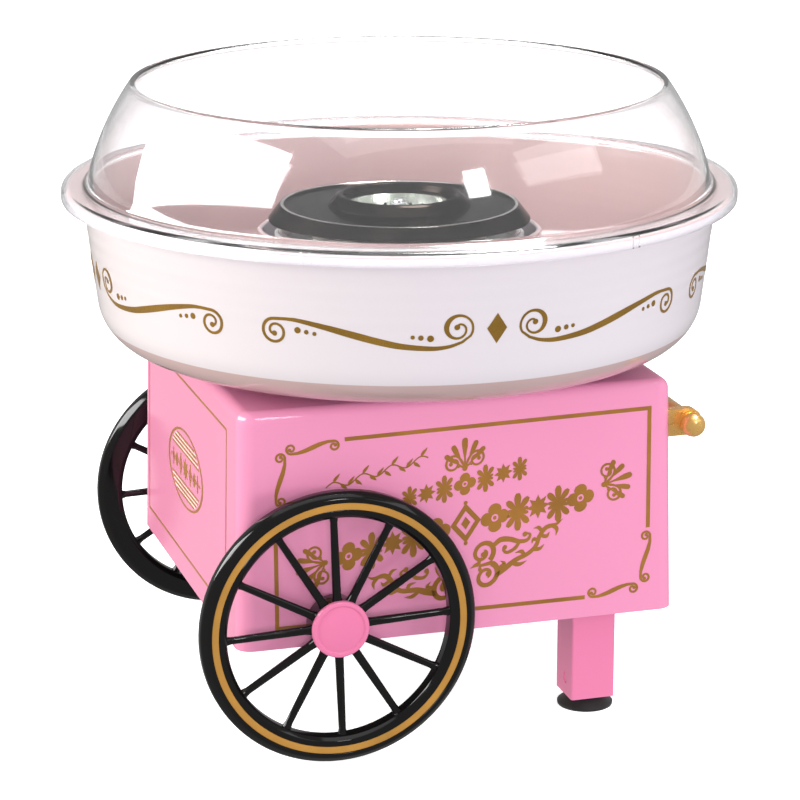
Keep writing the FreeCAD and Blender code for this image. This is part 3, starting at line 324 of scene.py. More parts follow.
def printed(name, shapes, place, body, material):
    """Closed thin layer of ink in those shapes, on the surface that place(u, v, lift) follows.

    Neighbouring shapes stand a few microns apart, so that no two faces coincide where they cross.
    """
    points, faces = [], []
    for number, cells in enumerate(shapes):
        height = INK + 0.004 * (number % 11)
        seen, loops = {}, []
        for cell in cells:
            keys = [(round(u, 4), round(v, 4)) for u, v in cell]
            loops.append([seen.setdefault(key, len(seen)) for key in keys])
        start, depth = len(points), len(seen)
        points += [place(u, v, height) for u, v in seen] + [place(u, v, -INK_ROOT) for u, v in seen]
        edges = {(a, b) for loop in loops for a, b in zip(loop, loop[1:] + loop[:1]) if a != b}
        for loop in loops:
            faces.append(tuple(start + i for i in loop))
            faces.append(tuple(start + depth + i for i in reversed(loop)))
        for a, b in edges:
            if (b, a) not in edges:
                faces.append((start + b, start + a, start + depth + a, start + depth + b))
    return build(name, points, faces, body, [material])


# ---------------------------------------------------------------- materials


def add(tree, kind, **values):
    """New node. A value goes to the socket of that name, or else to the node's own setting."""
    node = tree.nodes.new("ShaderNode" + kind)
    for key, value in values.items():
        if key in node.inputs:
            node.inputs[key].default_value = value
        else:
            setattr(node, key, value)
    return node


def place_of(tree, stretch=(1, 1, 1)):
    """Coordinates fixed to the piece, in metres, stretched to draw a grain out."""
    mapping = add(tree, "Mapping", Scale=stretch)
    tree.links.new(add(tree, "TexCoord").outputs["Object"], mapping.inputs["Vector"])
    return mapping.outputs["Vector"]


def radius_of(tree):
    """Distance from the Z axis, for marks that a lathe leaves."""
    length = add(tree, "VectorMath", operation="LENGTH")
    tree.links.new(place_of(tree, (1, 1, 0)), length.inputs[0])
    return length.outputs["Value"]


def noise(tree, scale, detail=2.0, where=None, rings=False):
    texture = add(tree, "TexNoise", Scale=scale, Detail=detail)
    if rings:
        texture.noise_dimensions = "1D"
        tree.links.new(radius_of(tree), texture.inputs["W"])
    else:
        tree.links.new(where or place_of(tree), texture.inputs["Vector"])
    return texture.outputs["Fac"]


def graded(tree, factor, *stops):
    """Colours at places along a factor."""
    ramp = add(tree, "ValToRGB")
    elements = ramp.color_ramp.elements
    while len(elements) < len(stops):
        elements.new(0.5)
    for element, (position, colour) in zip(elements, stops):
        element.position = position
        element.color = (*colour, 1)
    tree.links.new(factor, ramp.inputs["Fac"])
    return ramp.outputs["Color"]


def ranged(tree, factor, low, high, start=0.3, end=0.7):
    node = add(tree, "MapRange")
    for socket, value in zip(node.inputs[1:5], (start, end, low, high)):
        socket.default_value = value
    tree.links.new(factor, node.inputs["Value"])
    return node.outputs["Result"]


def bumped(tree, shader, *layers):
    """Surface relief from (factor, depth in millimetres) layers."""
    below = None
    for factor, depth in layers:
        bump = add(tree, "Bump", Strength=1.0, Distance=depth * MM)
        tree.links.new(factor, bump.inputs["Height"])
        if below:
            tree.links.new(below, bump.inputs["Normal"])
        below = bump.outputs["Normal"]
    tree.links.new(below, shader.inputs["Normal"])


def started(name, **values):
    material = bpy.data.materials.new(name)
    material.use_nodes = True
    shader = material.node_tree.nodes["Principled BSDF"]
    for key, value in values.items():
        shader.inputs[key.replace("_", " ")].default_value = value
    return material, material.node_tree, shader


def shade(colour, amount):
    return tuple(min(1.0, c * amount) for c in colour)


def surfaced(tree, shader, tint, roughness, *layers):
    """Plugs in a colour, a roughness and layers of relief."""
    tree.links.new(tint, shader.inputs["Base Color"])
    tree.links.new(roughness, shader.inputs["Roughness"])
    bumped(tree, shader, *layers)


def moulded(name, colour, rough=0.2, drift=0.006, coat=0.0, gloss=0.5):
    """Injection-moulded plastic: the pigment drifts a little, and the skin has a faint orange peel."""
    material, tree, shader = started(
        name, Coat_Weight=coat, Coat_Roughness=0.06, Specular_IOR_Level=gloss
    )
    tint = graded(tree, noise(tree, 14, 3), (0.3, shade(colour, 1 - drift)), (0.7, shade(colour, 1 + drift)))
    smear = ranged(tree, noise(tree, 55, 5), rough * 0.96, rough * 1.06)
    surfaced(tree, shader, tint, smear, (noise(tree, 320, 2), 0.003), (noise(tree, 1500, 3), 0.0015))
    return material


def textured(name, colour, rough=0.55, grain=0.02, scale=2600):
    """Matt plastic from a spark-eroded mould: an even fine grain."""
    material, tree, shader = started(name)
    tint = graded(tree, noise(tree, 30, 4), (0.3, shade(colour, 0.88)), (0.7, shade(colour, 1.12)))
    smear = ranged(tree, noise(tree, 90, 4), rough * 0.85, rough * 1.15)
    cells = add(tree, "TexVoronoi", Scale=scale, feature="SMOOTH_F1")
    tree.links.new(place_of(tree), cells.inputs["Vector"])
    surfaced(tree, shader, tint, smear, (cells.outputs["Distance"], grain))
    return material


def brushed(name, colour, rough=0.3, stretch=(1, 1, 12), depth=0.004):
    """Drawn or ground metal, with its marks along one direction."""
    material, tree, shader = started(name, Metallic=1.0)
    marks = noise(tree, 500, 6, place_of(tree, stretch))
    tint = graded(tree, noise(tree, 70, 4), (0.25, shade(colour, 0.82)), (0.75, shade(colour, 1.08)))
    surfaced(tree, shader, tint, ranged(tree, marks, rough * 0.7, rough * 1.4), (marks, depth))
    return material


def edged(tree, tint, radius, half, bare):
    """The tint with a bare ring round Z, whose radius and half width are in millimetres."""
    off = add(tree, "MapRange")
    for socket, value in zip(off.inputs[1:5], ((radius - half) * MM, (radius + half) * MM, -1, 1)):
        socket.default_value = value
    tree.links.new(radius_of(tree), off.inputs["Value"])
    away = add(tree, "Math", operation="ABSOLUTE")
    tree.links.new(off.outputs["Result"], away.inputs[0])
    mix = add(tree, "Mix", data_type="RGBA")
    tree.links.new(ranged(tree, away.outputs["Value"], 0, 1, 0.7, 1.0), mix.inputs["Factor"])
    mix.inputs[6].default_value = (*bare, 1)
    tree.links.new(tint, mix.inputs[7])
    return mix.outputs[2]


def spun(name, colour, rough=0.25, depth=0.01, metallic=1.0, edge=None, graze=1.0):
    """Metal turned on a lathe: fine rings round Z. An edge is (radius in mm, half width, colour)."""
    material, tree, shader = started(name, Metallic=metallic, Specular_Tint=(graze, graze, graze, 1))
    rings = noise(tree, 1800, 4, rings=True)
    tint = graded(tree, noise(tree, 60, 4), (0.25, shade(colour, 0.8)), (0.75, shade(colour, 1.15)))
    if edge:
        tint = edged(tree, tint, *edge)
    surfaced(tree, shader, tint, ranged(tree, rings, rough * 0.7, rough * 1.35), (rings, depth))
    return material


def rubber(name, colour):
    """Soft rubber with a dry bloom and a pebbled skin."""
    material, tree, shader = started(name, Sheen_Weight=0.15, Sheen_Roughness=0.5)
    bloom = noise(tree, 160, 5)
    tint = graded(tree, bloom, (0.35, colour), (0.8, shade(colour, 1.8)))
    pebbles, waves = (noise(tree, 2200, 3), 0.03), (noise(tree, 420, 2), 0.02)
    surfaced(tree, shader, tint, ranged(tree, bloom, 0.527, 0.744), pebbles, waves)
    return material


def glazed(name, colour, rough=0.25, speck=(0.6, 0.55, 0.5)):
    """Fired ceramic or ferrite, speckled and slightly uneven."""
    material, tree, shader = started(name)
    tint = graded(tree, noise(tree, 1400, 3), (0.30, speck), (0.42, colour), (0.8, shade(colour, 1.05)))
    smear = ranged(tree, noise(tree, 200, 3), rough * 0.8, rough * 1.4)
    surfaced(tree, shader, tint, smear, (noise(tree, 260, 3), 0.03))
    return material


def sleeved(name, colour):
    """Woven or extruded insulation on a lead."""
    material, tree, shader = started(name)
    weave = add(tree, "TexWave", Scale=520, Distortion=1.5, Detail=2, bands_direction="DIAGONAL")
    tree.links.new(place_of(tree), weave.inputs["Vector"])
    threads = weave.outputs["Fac"]
    tint = graded(tree, threads, (0.2, shade(colour, 0.75)), (0.8, colour))
    surfaced(tree, shader, tint, ranged(tree, noise(tree, 300, 3), 0.36, 0.54), (threads, 0.05))
    return material


def laminated(name, colour, dark):
    """Stack of thin sheets, seen as lines across Z."""
    material, tree, shader = started(name, Metallic=0.7)
    sheets = add(tree, "TexWave", Scale=320, bands_direction="Z")
    tree.links.new(place_of(tree), sheets.inputs["Vector"])
    layers = sheets.outputs["Fac"]
    tint = graded(tree, layers, (0.2, dark), (0.6, colour))
    surfaced(tree, shader, tint, ranged(tree, noise(tree, 240, 3), 0.304, 0.494), (layers, 0.05))
    return material


def inked(name, colour, metallic=0.35, rough=0.38):
    """Screen-printed metallic ink: flakes in a thin uneven layer."""
    material, tree, shader = started(name, Metallic=metallic)
    tint = graded(tree, noise(tree, 45, 4), (0.25, shade(colour, 0.82)), (0.75, shade(colour, 1.18)))
    flakes = noise(tree, 3800, 2)
    surfaced(tree, shader, tint, ranged(tree, flakes, rough * 0.75, rough * 1.3), (flakes, 0.004))
    return material


def plated(name, colour, rough):
    """Vacuum-metallised plastic, softly uneven."""
    material, tree, shader = started(name, Metallic=0.7, Coat_Weight=0.4, Coat_Roughness=0.05)
    tint = graded(tree, noise(tree, 90, 4), (0.25, shade(colour, 0.92)), (0.75, shade(colour, 1.04)))
    smear = ranged(tree, noise(tree, 260, 4), rough * 0.85, rough * 1.2)
    surfaced(tree, shader, tint, smear, (noise(tree, 520, 2), 0.006))
    return material


def clear_plastic(name, tint=0.985, clouding=(0.01, 0.03)):
    """Clear moulded plastic that lets lamps through, so that what stands behind it is lit."""
    material, tree, shader = started(
        name, Transmission_Weight=1.0, IOR=1.25, Base_Color=(tint, tint, min(1.0, tint + 0.02), 1),
        Coat_Weight=1.0, Coat_Roughness=0.055, Coat_IOR=1.6
    )
    bumped(tree, shader, (noise(tree, 26, 2), 0.02))
    tree.links.new(ranged(tree, noise(tree, 40, 4), *clouding), shader.inputs["Roughness"])
    lamp = add(tree, "LightPath")
    through_it = add(tree, "BsdfTransparent", Color=(tint, tint, tint, 1))
    mix = add(tree, "MixShader")
    tree.links.new(lamp.outputs["Is Shadow Ray"], mix.inputs[0])
    tree.links.new(shader.outputs[0], mix.inputs[1])
    tree.links.new(through_it.outputs[0], mix.inputs[2])
    tree.links.new(mix.outputs[0], tree.nodes["Material Output"].inputs["Surface"])
    return material


BODY_PINK = (0.80, 0.285, 0.475)
GOLD = (0.41, 0.185, 0.036)
STEEL = (0.56, 0.56, 0.57)
ALUMINIUM = (0.78, 0.78, 0.77)
BLACK = (0.0035, 0.003, 0.003)

FINISHES = {}


def finish(make, slot, *values, **more):
    """The material of a record slot, named after it."""
    FINISHES[slot] = make(slot, *values, **more)


finish(moulded, "body_pink", BODY_PINK, drift=0.003, rough=0.17)
finish(moulded, "leg_pink", (0.80, 0.215, 0.40), rough=0.2)
finish(moulded, "cap_pink", (0.75, 0.188, 0.365), rough=0.2)
finish(textured, "base_black", (0.018, 0.017, 0.018))
finish(moulded, "bowl_white", (0.68, 0.628, 0.675), rough=0.13, drift=0.006, coat=0.2)
finish(clear_plastic, "guard_clear")
finish(moulded, "wheel_black", BLACK, rough=0.09, drift=0.15, gloss=0.38)
finish(plated, "handle_gold", (0.95, 0.57, 0.17), 0.28)
finish(brushed, "screw_steel", STEEL, 0.3, (9, 9, 1))
finish(brushed, "axle_steel", STEEL, 0.22, (8, 1, 8))
finish(rubber, "foot_rubber", (0.014, 0.013, 0.013))
finish(rubber, "gland_rubber", (0.02, 0.019, 0.019))
finish(textured, "tower_plastic", (0.72, 0.70, 0.66), rough=0.42, grain=0.012)
finish(spun, "dish_aluminium", ALUMINIUM, 0.3)
finish(spun, "cup_aluminium", (0.80, 0.82, 0.78), 0.2)
finish(spun, "head_dark", (0.018, 0.014, 0.012), 0.13, 0.006, 0.95, (53.3, 0.9, (0.75, 0.73, 0.70)), 0.4)
finish(brushed, "element_sheath", (0.36, 0.33, 0.30), 0.42, (1, 1, 1), 0.01)
finish(glazed, "ceramic", (0.82, 0.79, 0.72))
finish(brushed, "fuse_metal", (0.72, 0.72, 0.70), 0.28, (1, 9, 9))
finish(brushed, "motor_steel", (0.62, 0.62, 0.60), 0.3, (1, 1, 9))
finish(brushed, "bearing_bronze", (0.58, 0.38, 0.18), 0.35, (1, 1, 1))
finish(glazed, "magnet_ferrite", (0.06, 0.055, 0.055), 0.5, (0.02, 0.02, 0.02))
finish(laminated, "core_iron", (0.42, 0.40, 0.39), (0.10, 0.09, 0.09))
finish(textured, "fan_plastic", (0.03, 0.03, 0.032), grain=0.01)
finish(spun, "screen_metal", (0.70, 0.70, 0.69), 0.3)
finish(textured, "switch_black", (0.016, 0.016, 0.017), rough=0.45, grain=0.012)
finish(moulded, "rocker_black", (0.014, 0.014, 0.015), rough=0.2, drift=0.15)
finish(brushed, "contact_brass", (0.72, 0.50, 0.20), 0.28, (9, 1, 9))
finish(textured, "block_plastic", (0.70, 0.68, 0.62), rough=0.5, grain=0.012)
finish(textured, "board", (0.30, 0.18, 0.07), rough=0.5, grain=0.01, scale=1200)
finish(textured, "component", (0.05, 0.05, 0.06), rough=0.4, grain=0.01)
finish(sleeved, "sleeve_white", (0.80, 0.78, 0.72))
finish(sleeved, "wire_red", (0.55, 0.03, 0.02))
finish(sleeved, "wire_black", (0.02, 0.02, 0.02))

# Inside of the bowl and top of its rim: dusty pink, and darker than the outside as painted shade for the
# shade inside the bowl.
BOWL_INNER_PINK_SHADE = moulded("bowl_inner_pink_shade", (0.51, 0.365, 0.360), rough=0.2, drift=0.05, coat=0.5)
# The guard's skirt: cloudier, and tinted darker as painted shade for the gap between it and the bowl's wall.
SKIRT_SHADED_CLEAR = clear_plastic("guard_skirt_shaded_clear", 0.88, (0.10, 0.16))
PANEL_GOLD = inked("panel_gold", GOLD)
BOWL_GOLD = inked("bowl_gold", (0.30, 0.165, 0.025), 0.45, 0.32)
WHEEL_GOLD = inked("wheel_gold", (0.50, 0.245, 0.045), 0.15, 0.36)
BADGE_CREAM = inked("badge_cream", (0.86, 0.74, 0.62), 0.0, 0.4)


# ---------------------------------------------------------------- surfaces that prints lie on


def draft_at(z):
    return HOUSE_DRAFT * (HOUSE_HIGH.z - z) / (HOUSE_HIGH.z - HOUSE_LOW.z)


def on_front(x, z, lift):
    return x, HOUSE_LOW.y + HOUSE_DRAFT - draft_at(z) - lift, z


def on_rear(x, z, lift):
    return x, HOUSE_HIGH.y - HOUSE_DRAFT + draft_at(z) + lift, z


def on_wheel_end(y, z, lift):
    return HOUSE_LOW.x + HOUSE_DRAFT - draft_at(z) - lift, y, z


def on_handle_end(y, z, lift):
    return HOUSE_HIGH.x - HOUSE_DRAFT + draft_at(z) + lift, y, z


def bowl_radius(z):
    """Outside of the bowl's wall over its rounded corner, with the ripples that the mould left."""
    slope = (BOWL_TOP_R - BOWL_LOW_R) / (BOWL_RIM - BOWL_WALL - BOWL_BASE)
    fade = min(1.0, max(0.0, (z - RIPPLED[0]) / 10), max(0.0, (RIPPLED[1] - z) / 6))
    wave = 0.6 * math.sin(z * 0.95) + 0.4 * math.sin(z * 0.41 + 1.0)
    return BOWL_LOW_R + slope * (z - BOWL_BASE) + RIPPLE * fade * wave


def on_bowl(bearing):
    """Unrolls the bowl's wall, with u running right from a bearing as seen from outside."""
    def place(u, z, lift):
        radius = bowl_radius(z) + lift
        angle = math.radians(bearing) + u / bowl_radius(195)
        return radius * math.cos(angle), radius * math.sin(angle), z
    return place


# ---------------------------------------------------------------- bowl and clear guard


def bowl():
    """Round pan: rim with a turned-down lip, wall, foot ring, and a collar round the heater tower."""
    t = BOWL_WALL
    under, lip_r = BOWL_RIM - t, BOWL_RIM_R - 1.8
    floor = BOWL_BASE + t
    outline = rounded([
        (BOWL_TOP_R - t + 0.6, BOWL_RIM, 1.2), (BOWL_RIM_R, BOWL_RIM, 1.6),
        (BOWL_RIM_R, BOWL_RIM - 4.6, 0.6), (lip_r, BOWL_RIM - 4.6, 0.6), (lip_r, under, 1.0),
        (BOWL_TOP_R, under, 1.5), (BOWL_LOW_R, BOWL_BASE, BOWL_CORNER_R),
        (BOWL_FOOT[1], BOWL_BASE, 1.0), (BOWL_FOOT[1], BOWL_LOW.z, 0.6),
        (BOWL_FOOT[0], BOWL_LOW.z, 0.6), (BOWL_FOOT[0], BOWL_BASE, 1.0),
        (COLLAR_R, BOWL_BASE, 0.8), (COLLAR_R, COLLAR_TOP, 1.0), (COLLAR_R + t, COLLAR_TOP, 1.0),
        (COLLAR_R + t + 1.5, floor, 5.0), (BOWL_LOW_R - t, floor, BOWL_CORNER_R - t),
    ], turn=6.0)
    shaped = []
    for p in divided(outline, 1.2):
        for wall, share in ((bowl_radius(p.y), 1.0), (bowl_radius(p.y) - t, 0.4)):
            if RIPPLED[0] < p.y < RIPPLED[1] + 1 and abs(p.x - wall) < 0.5:
                p = Vector((p.x + (wall - p.x) * share, p.y))
        shaped.append(p)

    def side(centre):
        """1 for the inside of the bowl and the top of its rim, which are pink and painted darker for the
        shade inside the bowl, 0 for the outside.
        """
        radius = math.hypot(centre.x, centre.y)
        over_floor = centre.z > BOWL_BASE + t / 2 and radius < bowl_radius(centre.z) - t / 2
        return int(centre.z > BOWL_RIM - 0.9 or (over_floor and radius > COLLAR_R + 0.3))

    points, faces = turned(shaped, about_z, even(288))
    piece = build(
        "bowl_shell", points, faces, "bowl", [FINISHES["bowl_white"], BOWL_INNER_PINK_SHADE], side
    )
    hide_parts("bowl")


def arc_through(a, b, c, steps=24):
    """Points along the circle through three points."""
    a, b, c = Vector(a), Vector(b), Vector(c)
    ab, ac = b - a, c - a
    twice = 2 * (ab.x * ac.y - ab.y * ac.x)
    middle = a + Vector((
        ac.y * ab.length_squared - ab.y * ac.length_squared,
        ab.x * ac.length_squared - ac.x * ab.length_squared,
    )) / twice
    radius = (a - middle).length
    first = math.atan2(a.y - middle.y, a.x - middle.x)
    last = math.atan2(c.y - middle.y, c.x - middle.x)
    angles = [first + (last - first) * k / steps for k in range(steps + 1)]
    return [middle + Vector((math.cos(t), math.sin(t))) * radius for t in angles]


def guard():
    """Clear guard: a skirt round the bowl's rim, a flange, a bulged wall and a beaded mouth."""
    t, lip = GUARD_WALL, 2.6
    under = GUARD_FLANGE - t - 0.2
    outer = arc_through((GUARD_BASE_R, GUARD_FLANGE), GUARD_BULGE, (GUARD_TOP_R, GUARD_TOP - 0.8))
    inner = arc_through(
        (GUARD_BASE_R - t, under), (GUARD_BULGE[0] - t, GUARD_BULGE[1]), (GUARD_TOP_R - t, GUARD_TOP - lip)
    )
    root, foot = 3, 2        # arc points given up to the fillets at the wall's base
    corners = [(GUARD_R, GUARD_FLANGE, 3.0), (GUARD_BASE_R + 0.1, GUARD_FLANGE, 3.0)]
    corners += [(*p, 0) for p in outer[root:]]
    corners += [
        (GUARD_TOP_R - 0.7, GUARD_TOP, 0.5), (GUARD_TOP_R - lip, GUARD_TOP, 0.6),
        (GUARD_TOP_R - lip - 0.5, GUARD_TOP - 0.9, 0.3), (GUARD_TOP_R - lip - 0.5, GUARD_TOP - 1.8, 0.4),
    ]
    corners += [(*p, 0) for p in reversed(inner[foot:])]
    corners += [
        (GUARD_BASE_R - t, under, 2.0), (GUARD_R - t, under, 1.4),
        (GUARD_R - t, GUARD_SKIRT, 0.4), (GUARD_R, GUARD_SKIRT, 0.6),
    ]
    outline = divided(rounded(corners, turn=12.0), 4.0)

    def place(radius, height, angle):
        """The skirt is cut in at both edges of each clip tab."""
        for bearing in TAB_BEARINGS:
            turn = (math.degrees(angle) - bearing + 180) % 360 - 180
            off = abs(math.radians(turn)) * GUARD_R
            if radius > GUARD_R - 0.7 and height < GUARD_FLANGE - 1.2 and off < TAB_HALF + 0.45:
                radius -= TAB_CUT if abs(off - TAB_HALF) < 0.3 else 0.0
        return about_z(radius, height, angle)

    bearings = set(even(360))
    for bearing in TAB_BEARINGS:
        for edge in (-1, 1):
            for step in (-0.45, -0.25, 0.25, 0.45):
                off = edge * TAB_HALF + step
                bearings.add(round((bearing + math.degrees(off / GUARD_R)) % 360, 5))
    points, faces = turned(outline, place, sorted(bearings))

    def side(centre):
        """1 for the skirt, whose surface is left a little cloudy and is tinted darker as painted shade for
        the gap behind it.
        """
        return int(centre.z < GUARD_FLANGE - 1.6 and math.hypot(centre.x, centre.y) > GUARD_R - t - 0.3)

    piece = build(
        "guard_shell", points, faces, "rim_guard", [FINISHES["guard_clear"], SKIRT_SHADED_CLEAR],
        side, crease=50
    )
    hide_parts("rim_guard")


def bowl_scroll():
    """Ribbon scroll to the left of a lozenge: curl, ribbon, curl, and a row of dots at each end."""
    near = curl((-16.4, 197.8), (6.1, 0.9), -32, 530, (1.0, 0.9), 1.8)
    for k, p in enumerate(near):
        bearing = -32 + 530 * k / (len(near) - 1)
        p.z += 1.25 * math.exp(-((bearing - 165) / 62) ** 2)
    ribbon = through([
        (-14.9, 191.8, 1.15), (-20.5, 190.0, 1.5), (-27.9, 189.4, 2.0), (-40.1, 190.5, 2.6),
        (-49.7, 192.5, 3.0), (-60.8, 195.3, 3.0), (-71.9, 198.0, 2.5), (-83.0, 200.2, 1.8),
        (-88.5, 200.6, 1.4),
    ])
    far = curl((-94.0, 194.9), (5.5, 1.1), 90, 530, (1.4, 1.0), 1.6)
    shapes = [strip(near[::-1] + ribbon + far)]
    shapes += [dot(near[-1].x, near[-1].y, 1.25), dot(far[-1].x, far[-1].y, 1.2)]
    rows = [
        (-83.8, 196.0, 1.4), (-80.0, 195.4, 1.0), (-76.5, 194.9, 0.9),
        (-35.5, 194.5, 0.9), (-32.1, 194.2, 1.15), (-28.1, 193.8, 1.45),
    ]
    return shapes + [dot(*row) for row in rows]


def bowl_prints():
    height, width = 6.65, 8.7
    rises = [k / 10 for k in range(-10, 11)]
    lozenge = strip([(0, 197.1 + height * t, max(0.05, width * (1 - abs(t)))) for t in rises])
    shapes = [lozenge] + both_hands(bowl_scroll())
    for name, bearing in (("front", -90), ("handle_end", 0), ("rear", 90), ("wheel_end", 180)):
        printed("bowl_scroll_" + name, shapes, on_bowl(bearing), "bowl", BOWL_GOLD)


# ---------------------------------------------------------------- front panel ornament


def corner_scroll():
    """S-shaped scroll, lying along u, with a curl and a ball at each end."""
    half = through([(0, 0, 1.95), (3.2, 1.15, 1.75), (6.4, 1.95, 1.3)])
    half += curl((9.1, 0.0), (2.05, 0.65), 88, -420, (1.0, 0.8), 1.4)
    other = [Vector((-p.x, -p.y, p.z)) for p in half[:0:-1]]
    end = half[-1]
    return [strip(other + half), dot(end.x, end.y, 0.75), dot(-end.x, -end.y, 0.75)]


def upended(shapes):
    """Shapes mirrored in the line from upper left to lower right."""
    return [[[(-v, -u) for u, v in cell] for cell in shape] for shape in shapes]


def front_frame():
    line = 1.8
    bars = [
        bar(-52.9, 140.6, 87.6, 142.9, line), bar(86.7, 143.0, 86.7, 88.0, line),
        bar(-85.0, 58.3, 57.1, 58.3, line), bar(-84.1, 98.0, -84.1, 58.3, line),
    ]
    printed("front_frame_lines", bars, on_front, "cart", PANEL_GOLD)
    scroll = moved(corner_scroll(), size=1.05)
    shapes = moved(scroll, -67.2, 138.2) + moved(upended(scroll), -81.6, 124.9)
    shapes += moved(upended(scroll), 85.7, 74.5) + moved(scroll, 70.4, 60.2)
    printed("front_corner_scrolls", shapes, on_front, "cart", PANEL_GOLD)


def palmette():
    """Fan of five club petals over two volutes, standing on its foot at the origin."""

    def petal(angle, reach, width):
        u, v = math.sin(math.radians(angle)) * reach, math.cos(math.radians(angle)) * reach
        club = ((0.0, 0.28), (0.35, 0.32), (0.55, 0.62), (0.75, 0.98), (0.92, 1.0))
        knots = [(u * t, v * t, width * w) for t, w in club]
        return [stroke(*knots), dot(u * 0.93, v * 0.93, width * 0.5)]

    half = petal(26, 12.4, 2.3) + petal(50, 11.6, 2.2)
    volute = curl((5.4, 3.2), (3.5, 1.0), 138, -500, (1.1, 0.8), 1.5)
    half += [strip(volute), dot(volute[-1].x, volute[-1].y, 0.85)]
    half += [stroke((0.2, 0.5, 0.6), (1.1, 3.2, 0.7), (2.8, 5.6, 0.85))]
    half += [stroke((0.4, 0.3, 0.6), (2.2, 1.4, 0.7), (3.2, 0.9, 0.6))]
    return petal(0, 13.4, 2.6) + both_hands(half) + [dot(0, 0, 1.2)]


def front_palmettes():
    shapes = moved(palmette(), 1.2, 122.9, lean=SLANT)
    shapes += moved(palmette(), 65.6, 109.7, turn=-74)
    shapes += moved(palmette(), -62.2, 86.2, turn=106)
    printed("front_palmettes", shapes, on_front, "cart", PANEL_GOLD)


def hollow_lozenge(half_width, height):
    """Lozenge in a heavy lozenge frame, standing on v = 0."""
    middle = height / 2
    outer = diamond(0, middle, half_width, middle)
    inner = diamond(0, middle, half_width * 0.62, middle * 0.62)
    core = diamond(0, middle, half_width * 0.30, middle * 0.32)
    tips = [dot(0, -0.2, 0.9), dot(0, height + 0.2, 0.9)]
    return [between(outer, inner), fan((0, middle), core)] + tips


def quatrefoil(radius):
    """Four-petalled flower with an open eye, standing on v = 0."""
    def petals(a):
        return radius * (0.62 + 0.38 * abs(math.cos(2 * a)) ** 0.7)
    outer = polar((0, radius), petals, 48)
    eye = polar((0, radius), radius * 0.26, 48)
    return [between(outer, eye), dot(0, radius, radius * 0.13)]


def lily():
    """Two sprays of three full petals back to back across a boss, 17 tall and 10 wide, on v = 0."""
    def petal(angle, reach, width):
        u, v = math.sin(math.radians(angle)) * reach, math.cos(math.radians(angle)) * reach
        swell = ((0.12, 0.3), (0.5, 0.9), (0.8, 1.0), (1.0, 0.5))
        return stroke(*[(u * t, v * t, width * w) for t, w in swell])
    spray = [petal(0, 8.5, 3.0)] + both_hands([petal(40, 7.6, 2.7), petal(76, 5.0, 1.6)])
    below = [[[(u, -v) for u, v in cell] for cell in shape] for shape in spray]
    return moved(spray + below + [dot(0, 0, 1.3)], 0, 8.5)


def star(radius, points=8):
    """Pointed rosette, standing on v = 0."""
    def tips(a):
        return radius * (1.0 if round(a * points / math.pi) % 2 == 0 else 0.56)
    return [fan((0, radius), polar((0, radius), tips, 2 * points))]


def main_band():
    """Wide slanted border of a lozenge, flowers, lilies and stars across the front panel."""
    half = moved(quatrefoil(6.5), 13.4, 1.6) + moved(lily(), 24.0, -0.4) + moved(star(5.4), 33.4, 2.9)
    half += moved(lily(), 42.8, -1.0, size=0.97) + moved(quatrefoil(6.3), 53.2, 1.0)
    shapes = hollow_lozenge(7.0, 18.0) + both_hands(half)
    return moved(shapes, PANEL_MIDDLE, 89.0, lean=SLANT)


def upper_band():
    """Short border of the same kind over the main one."""
    half = moved(lily(), 9.4, 0.2, size=0.72) + moved(star(4.3), 17.6, 2.2)
    half += moved(lily(), 25.2, 1.2, size=0.62)
    shapes = moved(quatrefoil(5.0), 0, 1.2) + both_hands(half)
    return moved(shapes, 1.2, 109.6, lean=0.175)


def vine():
    """Thin waving stem with a leaf on each side in turn."""
    length, waves, steps, leaves = 46.0, 3.5, 84, 14

    def stem(t):
        return length * t, 1.5 * math.sin(2 * math.pi * waves * t)

    shapes = [strip([(*stem(k / steps), 0.6) for k in range(steps + 1)])]
    for k in range(1, leaves):
        u, root = stem(k / leaves)
        side = 1 if k % 2 else -1
        shapes.append(stroke(
            (u, root, 0.3), (u + 0.9, root + 1.2 * side, 1.4), (u + 2.2, root + 2.4 * side, 0.9),
            (u + 2.9, root + 3.2 * side, 0.1),
        ))
    return moved(shapes, -61.5, 119.6, lean=0.208)


